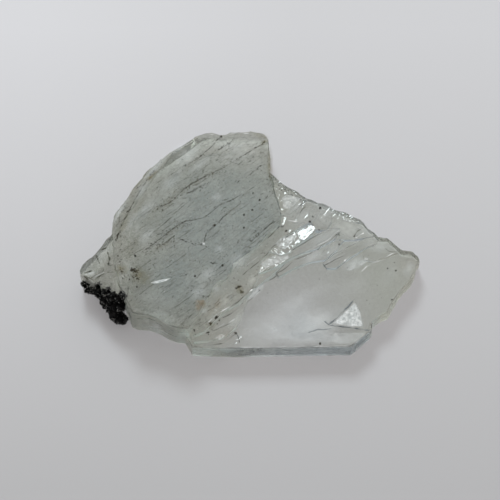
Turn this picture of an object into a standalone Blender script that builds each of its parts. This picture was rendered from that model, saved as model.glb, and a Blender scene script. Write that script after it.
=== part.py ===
"""A broken tabular barite crystal lying on its cleavage face, with a black mineral crust on its left edge.

The crystal grew and broke as one piece. Barite splits in flat layers, so its shape is a stack of cleavage
layers: a thin plate at the right, a thick slab at the left, two terraces stepping down between them, and
splinter-like blades along the broken back edge. The layers are joined into one solid.

Lengths are in millimetres, scaled to metres by MM. The frame has its origin under the middle of the
specimen's bounding box, on the surface it rests on, with +X along the specimen, +Y to its back and +Z up.
"""

import math
import random

import bmesh
import bpy
from mathutils import Matrix, Vector

MM = 0.001

# Heights of the cleavage faces above the surface that the specimen rests on.
PLATE_TOP = 3.3
LOBE_TOP = 4.2
LOWER_TERRACE_TOP = 4.4
UPPER_TERRACE_TOP = 5.6
SLAB_TOP = 6.5

# The underside is one cleavage face at 0, from which the slab and the lobe stand back by these steps.
SLAB_FOOT = 0.5
LOBE_FOOT = 1.0
# Layers that lie wholly on the plate start this far inside it, so that the union has no loose face.
ROOT = 1.5

# How far a broken wall leans out from its top edge to its foot.
WALL_LEAN = 0.15

# The thin plate. Its front is a straight prism face, its back the broken edge; its left third runs
# under the slab.
PLATE_OUTLINE = [
    (-7.6, -14.9), (2.7, -15.1), (13.3, -14.9), (15.9, -12.9), (16.1, -11.5), (18.4, -10.0),
    (19.9, -7.4), (22.1, -4.2), (22.7, -2.8), (21.8, -1.6), (20.4, -1.4), (18.4, 0.4), (17.3, 0.4),
    (15.3, 2.5), (13.3, 3.7), (9.5, 5.2), (7.5, 6.0), (5.5, 7.6), (4.0, 8.4), (2.4, 10.2),
    (1.4, 12.4), (-2.0, 12.9), (-6.5, 12.2), (-10.4, 9.4), (-13.6, 4.9), (-16.2, 0.2),
    (-16.6, -4.6), (-15.2, -8.8), (-12.2, -10.9), (-9.0, -12.1), (-8.4, -13.6),
]

# The thick slab: its left side is a ragged arc, its right side the broken edge above the terraces.
SLAB_OUTLINE = [
    (-15.6, -11.3), (-13.3, -11.7), (-10.7, -13.0), (-8.0, -13.6), (-5.9, -9.9), (-4.3, -7.2),
    (-3.2, -6.5), (-2.1, -4.4), (1.6, -1.5), (4.1, 1.2), (4.3, 2.5), (3.3, 6.1), (2.7, 8.7),
    (2.5, 14.1), (0.9, 15.0), (-2.7, 14.9), (-3.7, 14.4), (-5.2, 14.9), (-8.8, 13.1), (-11.7, 10.9),
    (-13.5, 9.4), (-15.7, 6.6), (-17.1, 4.1), (-18.1, 2.4), (-18.5, 0.7), (-18.0, -4.1),
    (-16.4, -9.3),
]

# The low lobe at the left end, whose front edge carries the crust.
LOBE_OUTLINE = [
    (-16.0, -9.2), (-14.0, -6.0), (-14.5, 1.2), (-18.4, 0.5), (-19.9, -1.0), (-22.4, -3.3),
    (-22.8, -4.0), (-22.7, -4.9), (-20.6, -6.4), (-18.1, -7.8),
]

# The terraces step down from the slab to the plate in curved, broken fronts.
UPPER_TERRACE_OUTLINE = [
    (-7.4, -14.1), (-6.0, -13.5), (-3.7, -11.1), (-0.4, -8.6), (1.1, -6.0), (1.6, -3.5), (4.5, -0.3),
    (4.6, 1.6), (-1.0, 1.0), (-5.6, -5.0), (-8.4, -11.8),
]
LOWER_TERRACE_OUTLINE = [
    (-7.4, -14.7), (-4.0, -14.1), (-1.6, -12.4), (-0.8, -9.8), (1.6, -6.3), (4.3, -4.0),
    (3.0, -1.0), (-2.0, -4.5), (-6.5, -9.5), (-8.6, -12.2),
]

# The broken back edge splits into blades that overlap like shingles. Each is an outline, a point on its
# top face, and the rise of that face per millimetre to the right and to the back.
BLADES = {
    "notch_block": (
        [(4.0, -0.4), (6.6, 1.2), (8.0, 2.3), (9.2, 4.2), (9.0, 5.4), (7.4, 5.8), (5.4, 7.4),
         (3.8, 8.3), (2.0, 9.4), (1.0, 4.0)],
        (5.0, 1.5, 5.0), -0.02, -0.20),
    "bright_blade": (
        [(1.2, -4.9), (5.3, -3.0), (8.0, -0.1), (8.9, 1.2), (8.3, 1.8), (4.2, 0.4), (1.0, -2.8)],
        (5.0, -2.0, 4.9), -0.03, -0.19),
    "lens_blade": (
        [(2.2, -5.6), (6.0, -2.9), (9.1, -1.6), (11.7, 0.1), (12.4, 1.5), (12.3, 3.8), (9.4, 5.0),
         (6.5, 3.0), (2.0, -3.0)],
        (6.0, -2.9, 4.3), 0.0, -0.07),
    "long_blade": (
        [(9.6, -3.5), (11.7, -1.9), (16.5, 1.0), (14.4, 3.0), (12.9, 3.6), (11.4, 3.6), (9.6, 0.0),
         (8.4, -2.6)],
        (12.0, -1.6, 3.95), -0.02, -0.09),
    "end_blade": (
        [(11.0, -4.2), (13.3, -4.7), (15.3, -4.4), (20.5, -1.7), (19.1, -0.5), (18.3, 0.2),
         (16.9, 0.3), (14.0, -1.2), (11.4, -3.0)],
        (15.3, -4.0, 3.75), 0.0, -0.10),
}

# Flat bevels on the slab's top edge: two points on the bevel's inner line, and its drop per millimetre
# going outwards (to the right of the line).
BEVELS = {
    "left_bevel": ((-12.1, 9.0), (-18.2, -0.9), 1.3),
    "back_bevel": ((2.4, 13.0), (-3.6, 13.4), 0.9),
}
BEVEL_REACH = 6.0

# Scooped flakes: centre, half-sizes and turn about Z, in degrees. They cut shallow shells from the top.
SCOOPS = {
    "end_scoop": ((13.9, -3.1, 4.15), (2.2, 0.95, 0.85), 22.0),
    "front_scoop": ((-1.4, -13.4, 4.5), (2.6, 1.3, 1.5), 35.0),
    "notch_scoop": ((6.2, 6.6, 4.7), (2.3, 1.2, 1.3), -38.0),
}

# The crust: lumps of black grains on the lobe's front edge, as centre and radius.
CRUST_LUMPS = {
    "black_crust_tip": [
        ((-22.2, -5.7, 3.1), 0.65), ((-21.8, -6.2, 2.8), 0.7), ((-21.3, -6.7, 2.7), 0.7),
        ((-20.9, -7.1, 2.5), 0.6),
    ],
    "black_crust_cluster": [
        ((-19.9, -7.4, 4.1), 0.95), ((-19.2, -8.1, 3.9), 1.1), ((-18.9, -8.5, 2.9), 1.15),
        ((-18.2, -8.8, 4.3), 1.15), ((-17.4, -8.9, 5.0), 0.95), ((-17.9, -9.6, 3.4), 1.25),
        ((-17.8, -10.2, 2.3), 1.05), ((-17.1, -10.6, 2.4), 0.8),
    ],
}
CRUST_ROUGHNESS = 0.12
# Clear space between the crust's solids and the crystal's, because both are separate meshes.
CRUST_GAP = 0.3
SEED = 7


def clear_scene():
    """Removes whatever the scene holds."""
    for obj in list(bpy.data.objects):
        bpy.data.objects.remove(obj, do_unlink=True)


def outset(outline, distance):
    """The outline, drawn anticlockwise, with each point moved out along the bisector of its corner."""
    moved = []
    for i, point in enumerate(outline):
        here = Vector(point)
        back = (here - Vector(outline[i - 1])).normalized()
        ahead = (Vector(outline[(i + 1) % len(outline)]) - here).normalized()
        along = (back + ahead).normalized()
        moved.append((here.x + along.y * distance, here.y - along.x * distance))
    return moved


def object_from(bm, name):
    """A new object in the scene from a bmesh drawn in millimetres."""
    bmesh.ops.recalc_face_normals(bm, faces=bm.faces)
    bmesh.ops.scale(bm, vec=(MM, MM, MM), verts=bm.verts)
    mesh = bpy.data.meshes.new(name)
    bm.to_mesh(mesh)
    bm.free()
    obj = bpy.data.objects.new(name, mesh)
    bpy.context.scene.collection.objects.link(obj)
    return obj


def layer(name, outline, foot, top, rise_x=0.0, rise_y=0.0, gap=0.0):
    """A cleavage layer: the outline raised from foot to its top face, with walls that lean out a little.

    top is a height, or a point on a tilted top face that rises by rise_x and rise_y per millimetre.
    gap makes the layer larger all round, for cutting a neighbour clear of it.
    """
    x0, y0, z0 = top if isinstance(top, tuple) else (0.0, 0.0, top)
    upper = [(x, y, z0 + rise_x * (x - x0) + rise_y * (y - y0) + gap) for x, y in outset(outline, gap)]
    lower = [(x, y, foot - gap) for x, y in outset(outline, gap + WALL_LEAN)]
    bm = bmesh.new()
    ring_top = [bm.verts.new(p) for p in upper]
    ring_foot = [bm.verts.new(p) for p in lower]
    bm.faces.new(ring_top)
    bm.faces.new(ring_foot[::-1])
    for i in range(len(outline)):
        j = (i + 1) % len(outline)
        bm.faces.new((ring_foot[i], ring_foot[j], ring_top[j], ring_top[i]))
    return object_from(bm, name)


def bevel_cutter(name, start, end, drop):
    """A block whose underside is a bevel face: it holds the line from start to end on the slab's top face
    and falls away to the right of that line."""
    along = (Vector(end) - Vector(start)).normalized()
    out = Vector((along.y, -along.x))
    low_start = Vector(start) - along * BEVEL_REACH
    low_end = Vector(end) + along * BEVEL_REACH
    # The block starts inside the slab's edge, above the top face, and ends beyond the slab.
    inner, outer = -1.0, BEVEL_REACH
    section = [
        (inner, SLAB_TOP - drop * inner),
        (outer, SLAB_TOP - drop * outer),
        (outer, SLAB_TOP + BEVEL_REACH),
        (inner, SLAB_TOP + BEVEL_REACH),
    ]
    bm = bmesh.new()
    ends = []
    for place in (low_start, low_end):
        points = [Vector((place.x + out.x * o, place.y + out.y * o, z)) for o, z in section]
        ends.append([bm.verts.new(p) for p in points])
    bm.faces.new(ends[0])
    bm.faces.new(ends[1][::-1])
    for i in range(len(section)):
        j = (i + 1) % len(section)
        bm.faces.new((ends[0][i], ends[1][i], ends[1][j], ends[0][j]))
    return object_from(bm, name)


def scoop_cutter(name, centre, half_sizes, turn):
    """An ellipsoid, turned about Z, that cuts a shell-shaped flake."""
    bm = bmesh.new()
    bmesh.ops.create_icosphere(bm, subdivisions=3, radius=1.0)
    shape = Matrix.Translation(centre) @ Matrix.Rotation(math.radians(turn), 4, "Z")
    bmesh.ops.transform(bm, matrix=shape @ Matrix.Diagonal((*half_sizes, 1.0)), verts=bm.verts)
    return object_from(bm, name)


def lump(name, centre, radius, rng):
    """One rough lump of crust: a ball whose corners are pushed in and out at random."""
    bm = bmesh.new()
    bmesh.ops.create_icosphere(bm, subdivisions=2, radius=radius)
    for vert in bm.verts:
        vert.co *= 1.0 + rng.uniform(-CRUST_ROUGHNESS, CRUST_ROUGHNESS)
    bmesh.ops.translate(bm, vec=centre, verts=bm.verts)
    return object_from(bm, name)


def use_as_tool(target, tool, operation):
    """Joins tool to target, or cuts it from target, and leaves the tool out of the model."""
    modifier = target.modifiers.new(tool.name, "BOOLEAN")
    modifier.operation = operation
    modifier.solver = "EXACT"
    modifier.object = tool
    tool.hide_render = True
    tool.display_type = "WIRE"


def material(name, colour, roughness, transmission=0.0):
    """A Principled material with a plain colour."""
    made = bpy.data.materials.new(name)
    made.use_nodes = True
    shader = made.node_tree.nodes["Principled BSDF"]
    shader.inputs["Base Color"].default_value = (*colour, 1.0)
    shader.inputs["Roughness"].default_value = roughness
    shader.inputs["Metallic"].default_value = 0.0
    shader.inputs["Transmission Weight"].default_value = transmission
    made.diffuse_color = (*colour, 1.0)
    return made


def build_crystal():
    """The crystal: the plate, with every other layer joined on and the bevels and scoops cut from it."""
    crystal = layer("barite_crystal", PLATE_OUTLINE, 0.0, PLATE_TOP)
    slab = layer("slab_layer", SLAB_OUTLINE, SLAB_FOOT, SLAB_TOP)
    for name, (start, end, drop) in BEVELS.items():
        use_as_tool(slab, bevel_cutter(name, start, end, drop), "DIFFERENCE")
    layers = [
        slab,
        layer("lobe_layer", LOBE_OUTLINE, LOBE_FOOT, LOBE_TOP),
        layer("upper_terrace", UPPER_TERRACE_OUTLINE, ROOT, UPPER_TERRACE_TOP),
        layer("lower_terrace", LOWER_TERRACE_OUTLINE, ROOT - 0.1, LOWER_TERRACE_TOP),
    ]
    for i, (name, (outline, top, rise_x, rise_y)) in enumerate(BLADES.items()):
        layers.append(layer(name, outline, ROOT + 0.1 * (i + 1), top, rise_x, rise_y))
    for part in layers:
        use_as_tool(crystal, part, "UNION")
    for name, (centre, half_sizes, turn) in SCOOPS.items():
        use_as_tool(crystal, scoop_cutter(name, centre, half_sizes, turn), "DIFFERENCE")
    crystal.data.materials.append(material("barite", (0.72, 0.78, 0.77), 0.12, transmission=0.9))
    return crystal


def build_crust():
    """The two patches of black crust, each a cluster of lumps cut clear of the crystal."""
    rng = random.Random(SEED)
    black = material("black_mineral", (0.012, 0.012, 0.012), 0.45)
    clearances = [
        layer("lobe_clearance", LOBE_OUTLINE, LOBE_FOOT, LOBE_TOP, gap=CRUST_GAP),
        layer("slab_clearance", SLAB_OUTLINE, SLAB_FOOT, SLAB_TOP, gap=CRUST_GAP),
        layer("plate_clearance", PLATE_OUTLINE, 0.0, PLATE_TOP, gap=CRUST_GAP),
    ]
    for name, lumps in CRUST_LUMPS.items():
        crust = None
        for i, (centre, radius) in enumerate(lumps):
            made = lump(name if crust is None else f"{name}_lump_{i}", centre, radius, rng)
            if crust is None:
                crust = made
            else:
                use_as_tool(crust, made, "UNION")
        for clearance in clearances:
            use_as_tool(crust, clearance, "DIFFERENCE")
        crust.data.materials.append(black)


clear_scene()
build_crystal()
build_crust()
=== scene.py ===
import math

import bpy
import numpy as np
from mathutils import Matrix, Vector


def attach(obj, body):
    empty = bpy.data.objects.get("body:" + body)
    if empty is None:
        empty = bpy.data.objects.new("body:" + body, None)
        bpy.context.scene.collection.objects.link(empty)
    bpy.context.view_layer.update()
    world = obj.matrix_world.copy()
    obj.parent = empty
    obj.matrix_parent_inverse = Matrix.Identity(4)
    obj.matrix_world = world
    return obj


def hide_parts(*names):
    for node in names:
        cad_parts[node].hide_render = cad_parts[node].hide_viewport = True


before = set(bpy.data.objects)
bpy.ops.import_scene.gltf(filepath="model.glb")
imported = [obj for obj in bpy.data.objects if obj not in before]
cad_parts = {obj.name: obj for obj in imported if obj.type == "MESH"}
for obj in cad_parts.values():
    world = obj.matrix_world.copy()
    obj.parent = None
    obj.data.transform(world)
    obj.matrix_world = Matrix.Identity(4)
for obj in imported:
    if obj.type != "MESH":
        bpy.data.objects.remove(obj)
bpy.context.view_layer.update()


# ---------------------------------------------------------------------------------------------------
# The barite crystal. One broken tabular crystal of clear, grey-green barite, which splits in flat
# layers: a thin plate, a thick slab and a low lobe on it, two terraces and a row of splintered blades.
# Each layer is a slice with its own broken wall and its own cleavage face, and they are grown together.
MM = 0.001

# The lines on the cleavage faces all run this way: up to the right, seen from above.
GRAIN_ANGLE = math.radians(37.0)
# Faces that meet at more than this angle have a sharp edge between them.
SHARP_FROM = math.radians(14.0)

PLATE_TOP = 3.3
LOBE_TOP = 4.2
LOWER_TERRACE_TOP = 4.4
UPPER_TERRACE_TOP = 5.6
SLAB_TOP = 6.5
SLAB_FOOT = 0.5
LOBE_FOOT = 1.0
UPPER_TERRACE_FOOT = 1.5
LOWER_TERRACE_FOOT = 1.4

PLATE_OUTLINE = [
    (-7.6, -15.1), (-2.0, -15.3), (2.7, -15.2), (8.0, -15.1), (13.3, -15.0), (14.1, -14.4), (15.9, -12.9),
    (16.2, -12.3), (16.1, -11.5), (17.3, -10.6), (18.4, -10.0), (18.9, -8.9), (19.9, -7.4), (20.6, -6.5),
    (21.5, -5.5), (22.1, -4.2), (22.2, -3.4), (22.7, -2.8), (22.4, -2.2), (21.8, -1.6), (20.4, -1.4),
    (19.3, -0.5), (18.4, 0.4), (17.3, 0.4), (16.7, 1.1), (15.9, 1.6), (15.3, 2.5), (14.6, 3.1), (13.3, 3.7),
    (11.3, 4.4), (9.5, 5.2), (8.4, 5.8), (7.5, 6.0), (6.4, 7.0), (5.5, 7.6), (4.0, 8.4), (3.6, 9.1),
    (2.2, 10.2), (1.4, 12.4), (-2.0, 12.9), (-6.5, 12.2), (-10.4, 9.4), (-13.6, 4.9), (-16.2, 0.2),
    (-16.6, -4.6), (-15.2, -8.8), (-12.2, -10.9), (-9.0, -12.1), (-8.4, -13.6),
]
SLAB_OUTLINE = [
    (-15.6, -11.3), (-14.9, -11.6), (-13.3, -11.7), (-12.0, -12.2), (-10.7, -13.0), (-9.7, -13.4),
    (-8.0, -13.6), (-7.4, -12.7), (-5.9, -9.9), (-5.1, -8.5), (-4.3, -7.2), (-3.2, -6.5), (-2.5, -5.5),
    (-2.1, -4.4), (-0.4, -3.2), (1.6, -1.5), (2.7, -0.1), (4.1, 1.2), (4.3, 2.5), (3.9, 4.2), (3.3, 6.1),
    (3.1, 7.4), (2.7, 8.7), (2.7, 11.8), (2.5, 14.1), (1.9, 14.7), (0.9, 15.0), (0.0, 15.1), (-0.9, 15.0),
    (-2.7, 14.9), (-3.3, 14.5), (-4.0, 14.4), (-5.2, 14.9), (-6.1, 14.5), (-7.5, 13.7), (-8.8, 12.8),
    (-9.9, 12.1), (-11.7, 10.8), (-12.7, 10.1), (-13.6, 9.4), (-14.5, 7.9), (-15.3, 7.1), (-15.9, 6.6),
    (-16.7, 5.0), (-17.3, 4.2), (-18.2, 2.5), (-18.5, 0.7), (-18.3, -0.9), (-18.0, -4.1), (-17.3, -7.0),
    (-16.4, -9.3),
]
LOBE_OUTLINE = [
    (-16.0, -9.2), (-14.0, -6.0), (-14.5, 1.2), (-18.4, 0.5), (-19.2, -0.3), (-19.7, -1.1), (-20.2, -1.8),
    (-20.9, -2.6), (-21.8, -3.4), (-22.3, -4.0), (-22.6, -4.8), (-22.4, -5.4), (-20.6, -6.4), (-19.3, -7.1),
    (-18.1, -7.8), (-16.9, -8.7),
]
UPPER_TERRACE_OUTLINE = [
    (-7.4, -14.1), (-6.0, -13.5), (-4.8, -12.3), (-3.7, -11.1), (-2.7, -10.3), (-1.3, -9.4), (-0.4, -8.6),
    (0.5, -7.3), (1.1, -6.0), (1.3, -4.6), (1.6, -3.5), (2.4, -2.6), (3.5, -1.5), (4.5, -0.3), (4.6, 1.6),
    (-1.0, 1.0), (-5.6, -5.0), (-8.4, -11.8),
]
LOWER_TERRACE_OUTLINE = [
    (-7.4, -14.7), (-5.6, -14.5), (-4.0, -14.1), (-2.7, -13.5), (-1.6, -12.4), (-1.1, -11.3), (-0.8, -9.8),
    (-0.3, -8.4), (0.7, -7.1), (1.6, -6.3), (2.4, -5.7), (3.3, -4.9), (4.3, -4.0), (3.0, -1.0), (-2.0, -4.5),
    (-6.5, -9.5), (-8.6, -12.2),
]


def noise(x, y, seed):
    """Smooth random height from -1 to 1. Random values sit on the whole numbers of x and y, and between
    them the height is blended with the S-curve 3t^2 - 2t^3."""
    cells = 64
    table = np.random.default_rng(seed).uniform(-1.0, 1.0, (cells, cells))
    i, j = np.floor(x).astype(int), np.floor(y).astype(int)
    s, t = x - i, y - j
    s, t = s * s * (3.0 - 2.0 * s), t * t * (3.0 - 2.0 * t)
    near = table[i % cells, j % cells] * (1.0 - s) + table[(i + 1) % cells, j % cells] * s
    far = table[i % cells, (j + 1) % cells] * (1.0 - s) + table[(i + 1) % cells, (j + 1) % cells] * s
    return near * (1.0 - t) + far * t


def along_grain(x, y):
    """The distances of a point along the crystal's grain and across it."""
    c, s = math.cos(GRAIN_ANGLE), math.sin(GRAIN_ANGLE)
    return x * c + y * s, y * c - x * s


def steps(value, sharpness):
    """Whole steps with short ramps: the whole part of the value, plus an S-curve of its fraction that is
    squeezed into the last 1/sharpness of each step."""
    whole = np.floor(value)
    ramp = np.clip((value - whole - 1.0) * sharpness + 1.0, 0.0, 1.0)
    return whole + ramp * ramp * (3.0 - 2.0 * ramp)


def chips(x, y, size, seed):
    """Flat chips at random tilts, as on a splintered break. The plane is split into the cells nearest to
    random centres, about size apart, and each cell's height is a random plane through its centre."""
    rng = np.random.default_rng(seed)
    x0, x1, y0, y1 = x.min(), x.max(), y.min(), y.max()
    count = max(4, int((x1 - x0) * (y1 - y0) / size**2))
    cx, cy = rng.uniform(x0, x1, count), rng.uniform(y0, y1, count)
    tilt_x, tilt_y, rise = rng.normal(0, 1, (3, count))
    nearest = np.argmin((x[..., None] - cx) ** 2 + (y[..., None] - cy) ** 2, axis=-1)
    plane = tilt_x[nearest] * (x - cx[nearest]) + tilt_y[nearest] * (y - cy[nearest])
    return plane / size + 0.5 * rise[nearest]


def object_of(name, points, faces):
    """An object with a mesh of these points and faces."""
    mesh = bpy.data.meshes.new(name)
    mesh.from_pydata(points, [], faces)
    mesh.update()
    obj = bpy.data.objects.new(name, mesh)
    bpy.context.scene.collection.objects.link(obj)
    return obj


def quads_of(index):
    """Quads between the neighbours in a grid of point numbers, or in each of a stack of grids."""
    return np.stack([index[..., :-1, :-1], index[..., 1:, :-1], index[..., 1:, 1:], index[..., :-1, 1:]],
                    axis=-1).reshape(-1, 4)


def walked(points):
    """The distance walked along a line up to each of its points."""
    return np.concatenate([[0.0], np.cumsum(np.hypot(*np.diff(points, axis=0).T))])


def on_line(points, at):
    """The places at the given distances along a line."""
    run = walked(points)
    return np.stack([np.interp(at, run, points[:, axis]) for axis in (0, 1)], axis=-1)


def broken_outline(corners, spacing, chip, seed, rough=None):
    """Points every spacing along the closed outline, moved along its normal by up to chip, mostly inwards.
    The move is a straight line between random knots, which gives chipped edges."""
    ring = np.array(corners + corners[:1], float)
    length = walked(ring)[-1]
    count = int(length / spacing)
    at = np.arange(count) * length / count
    points = on_line(ring, at)
    ahead = np.roll(points, -2, axis=0) - np.roll(points, 2, axis=0)
    normal = np.stack([ahead[:, 1], -ahead[:, 0]], axis=1) / np.hypot(*ahead.T)[:, None]
    rng = np.random.default_rng(seed)
    move = np.zeros(count)
    for knot_gap, share in ((1.7, 0.6), (0.6, 0.4)):
        knots = np.sort(rng.uniform(0.0, length, int(length / knot_gap)))
        heights = rng.uniform(-1.0, 1.0, len(knots))
        move += share * chip * (np.interp(at, knots, heights, period=length) - 0.6)
    if rough:
        move *= rough(points[:, 0], points[:, 1])
    return points + normal * move[:, None], normal


def wall_prism(name, corners, low, high, chip, ledge, seed, rough=None):
    """A prism with a broken wall: the outline carried up through flat cleavage bands of random
    thickness, with each band pushed in or out by its own noise along the outline, so its edges are ledges.
    rough(x, y) scales the breakage from place to place."""
    spacing, lip, thinnest, thickest = 0.17, 0.03, 0.25, 0.85
    outline, normal = broken_outline(corners, spacing, chip, seed, rough)
    bands = np.cumsum(np.random.default_rng(seed + 1).uniform(thinnest, thickest, 40))
    bands = np.concatenate([[low], low + bands[bands < high - low - 0.2], [high]])
    z = np.stack([bands[:-1] + lip, bands[1:] - lip], axis=1).ravel()
    z[0], z[-1] = low, high
    level = np.repeat(np.arange(len(bands) - 1), 2)
    run = np.arange(len(outline)) * spacing
    across, band = np.meshgrid(run / 1.4, level * 7.3, indexing="ij")
    push = ledge * noise(across, band, seed + 2) + 0.35 * ledge * noise(across * 4.0, band, seed + 3)
    if rough:
        push *= rough(outline[:, 0], outline[:, 1])[:, None]
    push += 0.03 * (high - 1.0 - z)[None, :] - 0.5 * ledge
    x = outline[:, :1] + normal[:, :1] * push
    y = outline[:, 1:] + normal[:, 1:] * push
    points = np.stack([x, y, np.broadcast_to(z, x.shape)], axis=-1).reshape(-1, 3)
    index = np.arange(x.size).reshape(x.shape)
    caps = [index[::-1, 0].tolist(), index[:, -1].tolist()]
    return object_of(name, points, quads_of(np.concatenate([index, index[:1]])).tolist() + caps)


def cleavage_block(name, corners, foot, height, cell):
    """A block over the whole outline with a flat underside at foot. Its top is a grid turned to the
    grain, and each point's height is height(x, y)."""
    c, s = math.cos(GRAIN_ANGLE), math.sin(GRAIN_ANGLE)
    a, b = along_grain(*np.array(corners).T)
    margin = 0.8
    rows = np.linspace(a.min() - margin, a.max() + margin, int((np.ptp(a) + 2 * margin) / cell[0]))
    cols = np.linspace(b.min() - margin, b.max() + margin, int((np.ptp(b) + 2 * margin) / cell[1]))
    a, b = np.meshgrid(rows, cols, indexing="ij")
    x, y = a * c - b * s, a * s + b * c
    top = np.stack([x, y, height(x, y)], axis=-1)
    index = np.arange(x.size).reshape(x.shape)
    border = np.concatenate([index[:-1, 0], index[-1, :-1], index[:0:-1, -1], index[0, :0:-1]])
    under = top.reshape(-1, 3)[border]
    under[:, 2] = foot
    low = x.size + np.arange(len(border))
    sides = np.stack([low, np.roll(low, -1), np.roll(border, -1), border], axis=-1)
    points = np.concatenate([top.reshape(-1, 3), under])
    return object_of(name, points, quads_of(index).tolist() + sides.tolist() + [low[::-1].tolist()])


def combine(first, second, operation):
    """The first object joined with, cut to or cut by the second, which is used up."""
    modifier = first.modifiers.new(operation, "BOOLEAN")
    modifier.operation = operation
    modifier.solver = "MANIFOLD"
    modifier.object = second
    graph = bpy.context.evaluated_depsgraph_get()
    mesh = bpy.data.meshes.new_from_object(first.evaluated_get(graph))
    first.modifiers.clear()
    old = first.data
    first.data = mesh
    bpy.data.meshes.remove(old)
    used = second.data
    bpy.data.objects.remove(second)
    bpy.data.meshes.remove(used)
    return first


def cleavage_layer(name, corners, foot, height, top, seed, cell, chip, ledge, rough=None):
    """One layer of the crystal: the block with its cleavage face, cut to the broken wall."""
    block = cleavage_block(name, corners, foot, height, cell)
    wall = wall_prism(name + "_wall", corners, foot - 0.5, top + 1.0, chip, ledge, seed, rough)
    return combine(block, wall, "INTERSECT")


def beyond(x, y, start, end):
    """How far a point lies to the right of the line from start to end."""
    across = (end[1] - start[1]) * (x - start[0]) - (end[0] - start[0]) * (y - start[1])
    return across / math.dist(start, end)


def slab_cleavage(x, y):
    """Fine parallel cleavage steps along the grain, with low waves."""
    a, b = along_grain(x, y)
    waves = 0.012 * noise(a / 7.0, b / 1.5, 11) + 0.002 * noise(a / 1.6, b / 0.35, 12)
    drift = 0.8 * noise(a / 9.0, b / 3.0, 13) + 0.1 * noise(a / 1.3, b / 0.8, 14)
    return SLAB_TOP + waves + 0.03 * steps(b / 1.9 + drift, 9.0)


# The slab's bevels on the left and at the back: where each starts, as a line, and its fall per millimetre.
BEVELS = [((-12.1, 9.0), (-18.2, -0.9), 0.7), ((2.4, 13.0), (-3.6, 13.4), 0.9)]


def bevel(x, y, start, end, fall):
    """A rippled plane that falls to the right of the line from start to end."""
    ripples = 0.03 * noise(x / 1.1, y / 1.1, 15) + 0.01 * noise(x / 0.4, y / 0.4, 16)
    return SLAB_TOP + 0.05 - fall * beyond(x, y, start, end) + ripples


def slab_face(x, y):
    """The slab's cleavage face or its bevels, whichever is lowest."""
    return np.minimum.reduce([slab_cleavage(x, y)] + [bevel(x, y, *line) for line in BEVELS])


def plate_face(x, y):
    """Almost smooth: low waves and a few faint steps."""
    a, b = along_grain(x, y)
    waves = 0.012 * noise(a / 6.0, b / 3.0, 21) + 0.003 * noise(a / 1.5, b / 0.7, 22)
    ledges = 0.02 * steps(1.4 * noise(a / 12.0, b / 5.0, 23), 9.0)
    return PLATE_TOP + waves + ledges


def lobe_face(x, y):
    """Low cleavage steps that fall to the front."""
    a, b = along_grain(x, y)
    drift = 0.7 * noise(a / 2.5, b / 1.6, 31) + 0.1 * noise(a / 0.6, b / 0.5, 32)
    ledges = 0.05 * steps(b / 1.1 + drift, 6.0)
    return LOBE_TOP + ledges + 0.004 * noise(a / 0.5, b / 0.4, 33)


def terrace_face(top, edge, back, tread, rise, sway, ripple, seed):
    """Narrow steps that follow the break along the line edge and fall towards the plate. They start the
    distance back behind the line; each is as wide as tread and as high as rise, and sways along the grain."""
    def height(x, y):
        a, b = along_grain(x, y)
        drift = 0.7 * noise(a / sway[0], b / sway[1], seed) + 0.2 * noise(a / 0.6, b / 0.5, seed + 1)
        fall = rise * steps((beyond(x, y, *edge) + back) / tread + drift, 3.5)
        return top - fall + 0.02 * noise(a / ripple, b / 0.3, seed + 2)
    return height


upper_terrace_face = terrace_face(UPPER_TERRACE_TOP, ((-7.4, -14.1), (4.5, -0.3)), back=4.0, tread=0.62,
                                  rise=0.09, sway=(2.2, 2.0), ripple=0.9, seed=41)
lower_terrace_face = terrace_face(LOWER_TERRACE_TOP, ((-7.4, -14.7), (4.3, -4.0)), back=3.0, tread=0.55,
                                  rise=0.07, sway=(2.0, 1.8), ripple=0.8, seed=51)


def tilted_plane(x, y, at, rise_x, rise_y):
    """A plane through a point that rises per millimetre to the right and to the back."""
    return at[2] + rise_x * (x - at[0]) + rise_y * (y - at[1])


def blade_face(at, rise_x, rise_y, rough, size, seed):
    """The face of a splinter: a tilted plane, roughened by flat chips and fine ripples."""
    def height(x, y):
        a, b = along_grain(x, y)
        plane = tilted_plane(x, y, at, rise_x, rise_y)
        return plane + rough * chips(x, y, size, seed) + 0.3 * rough * noise(a / 0.7, b / 0.25, seed + 1)
    return height


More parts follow.
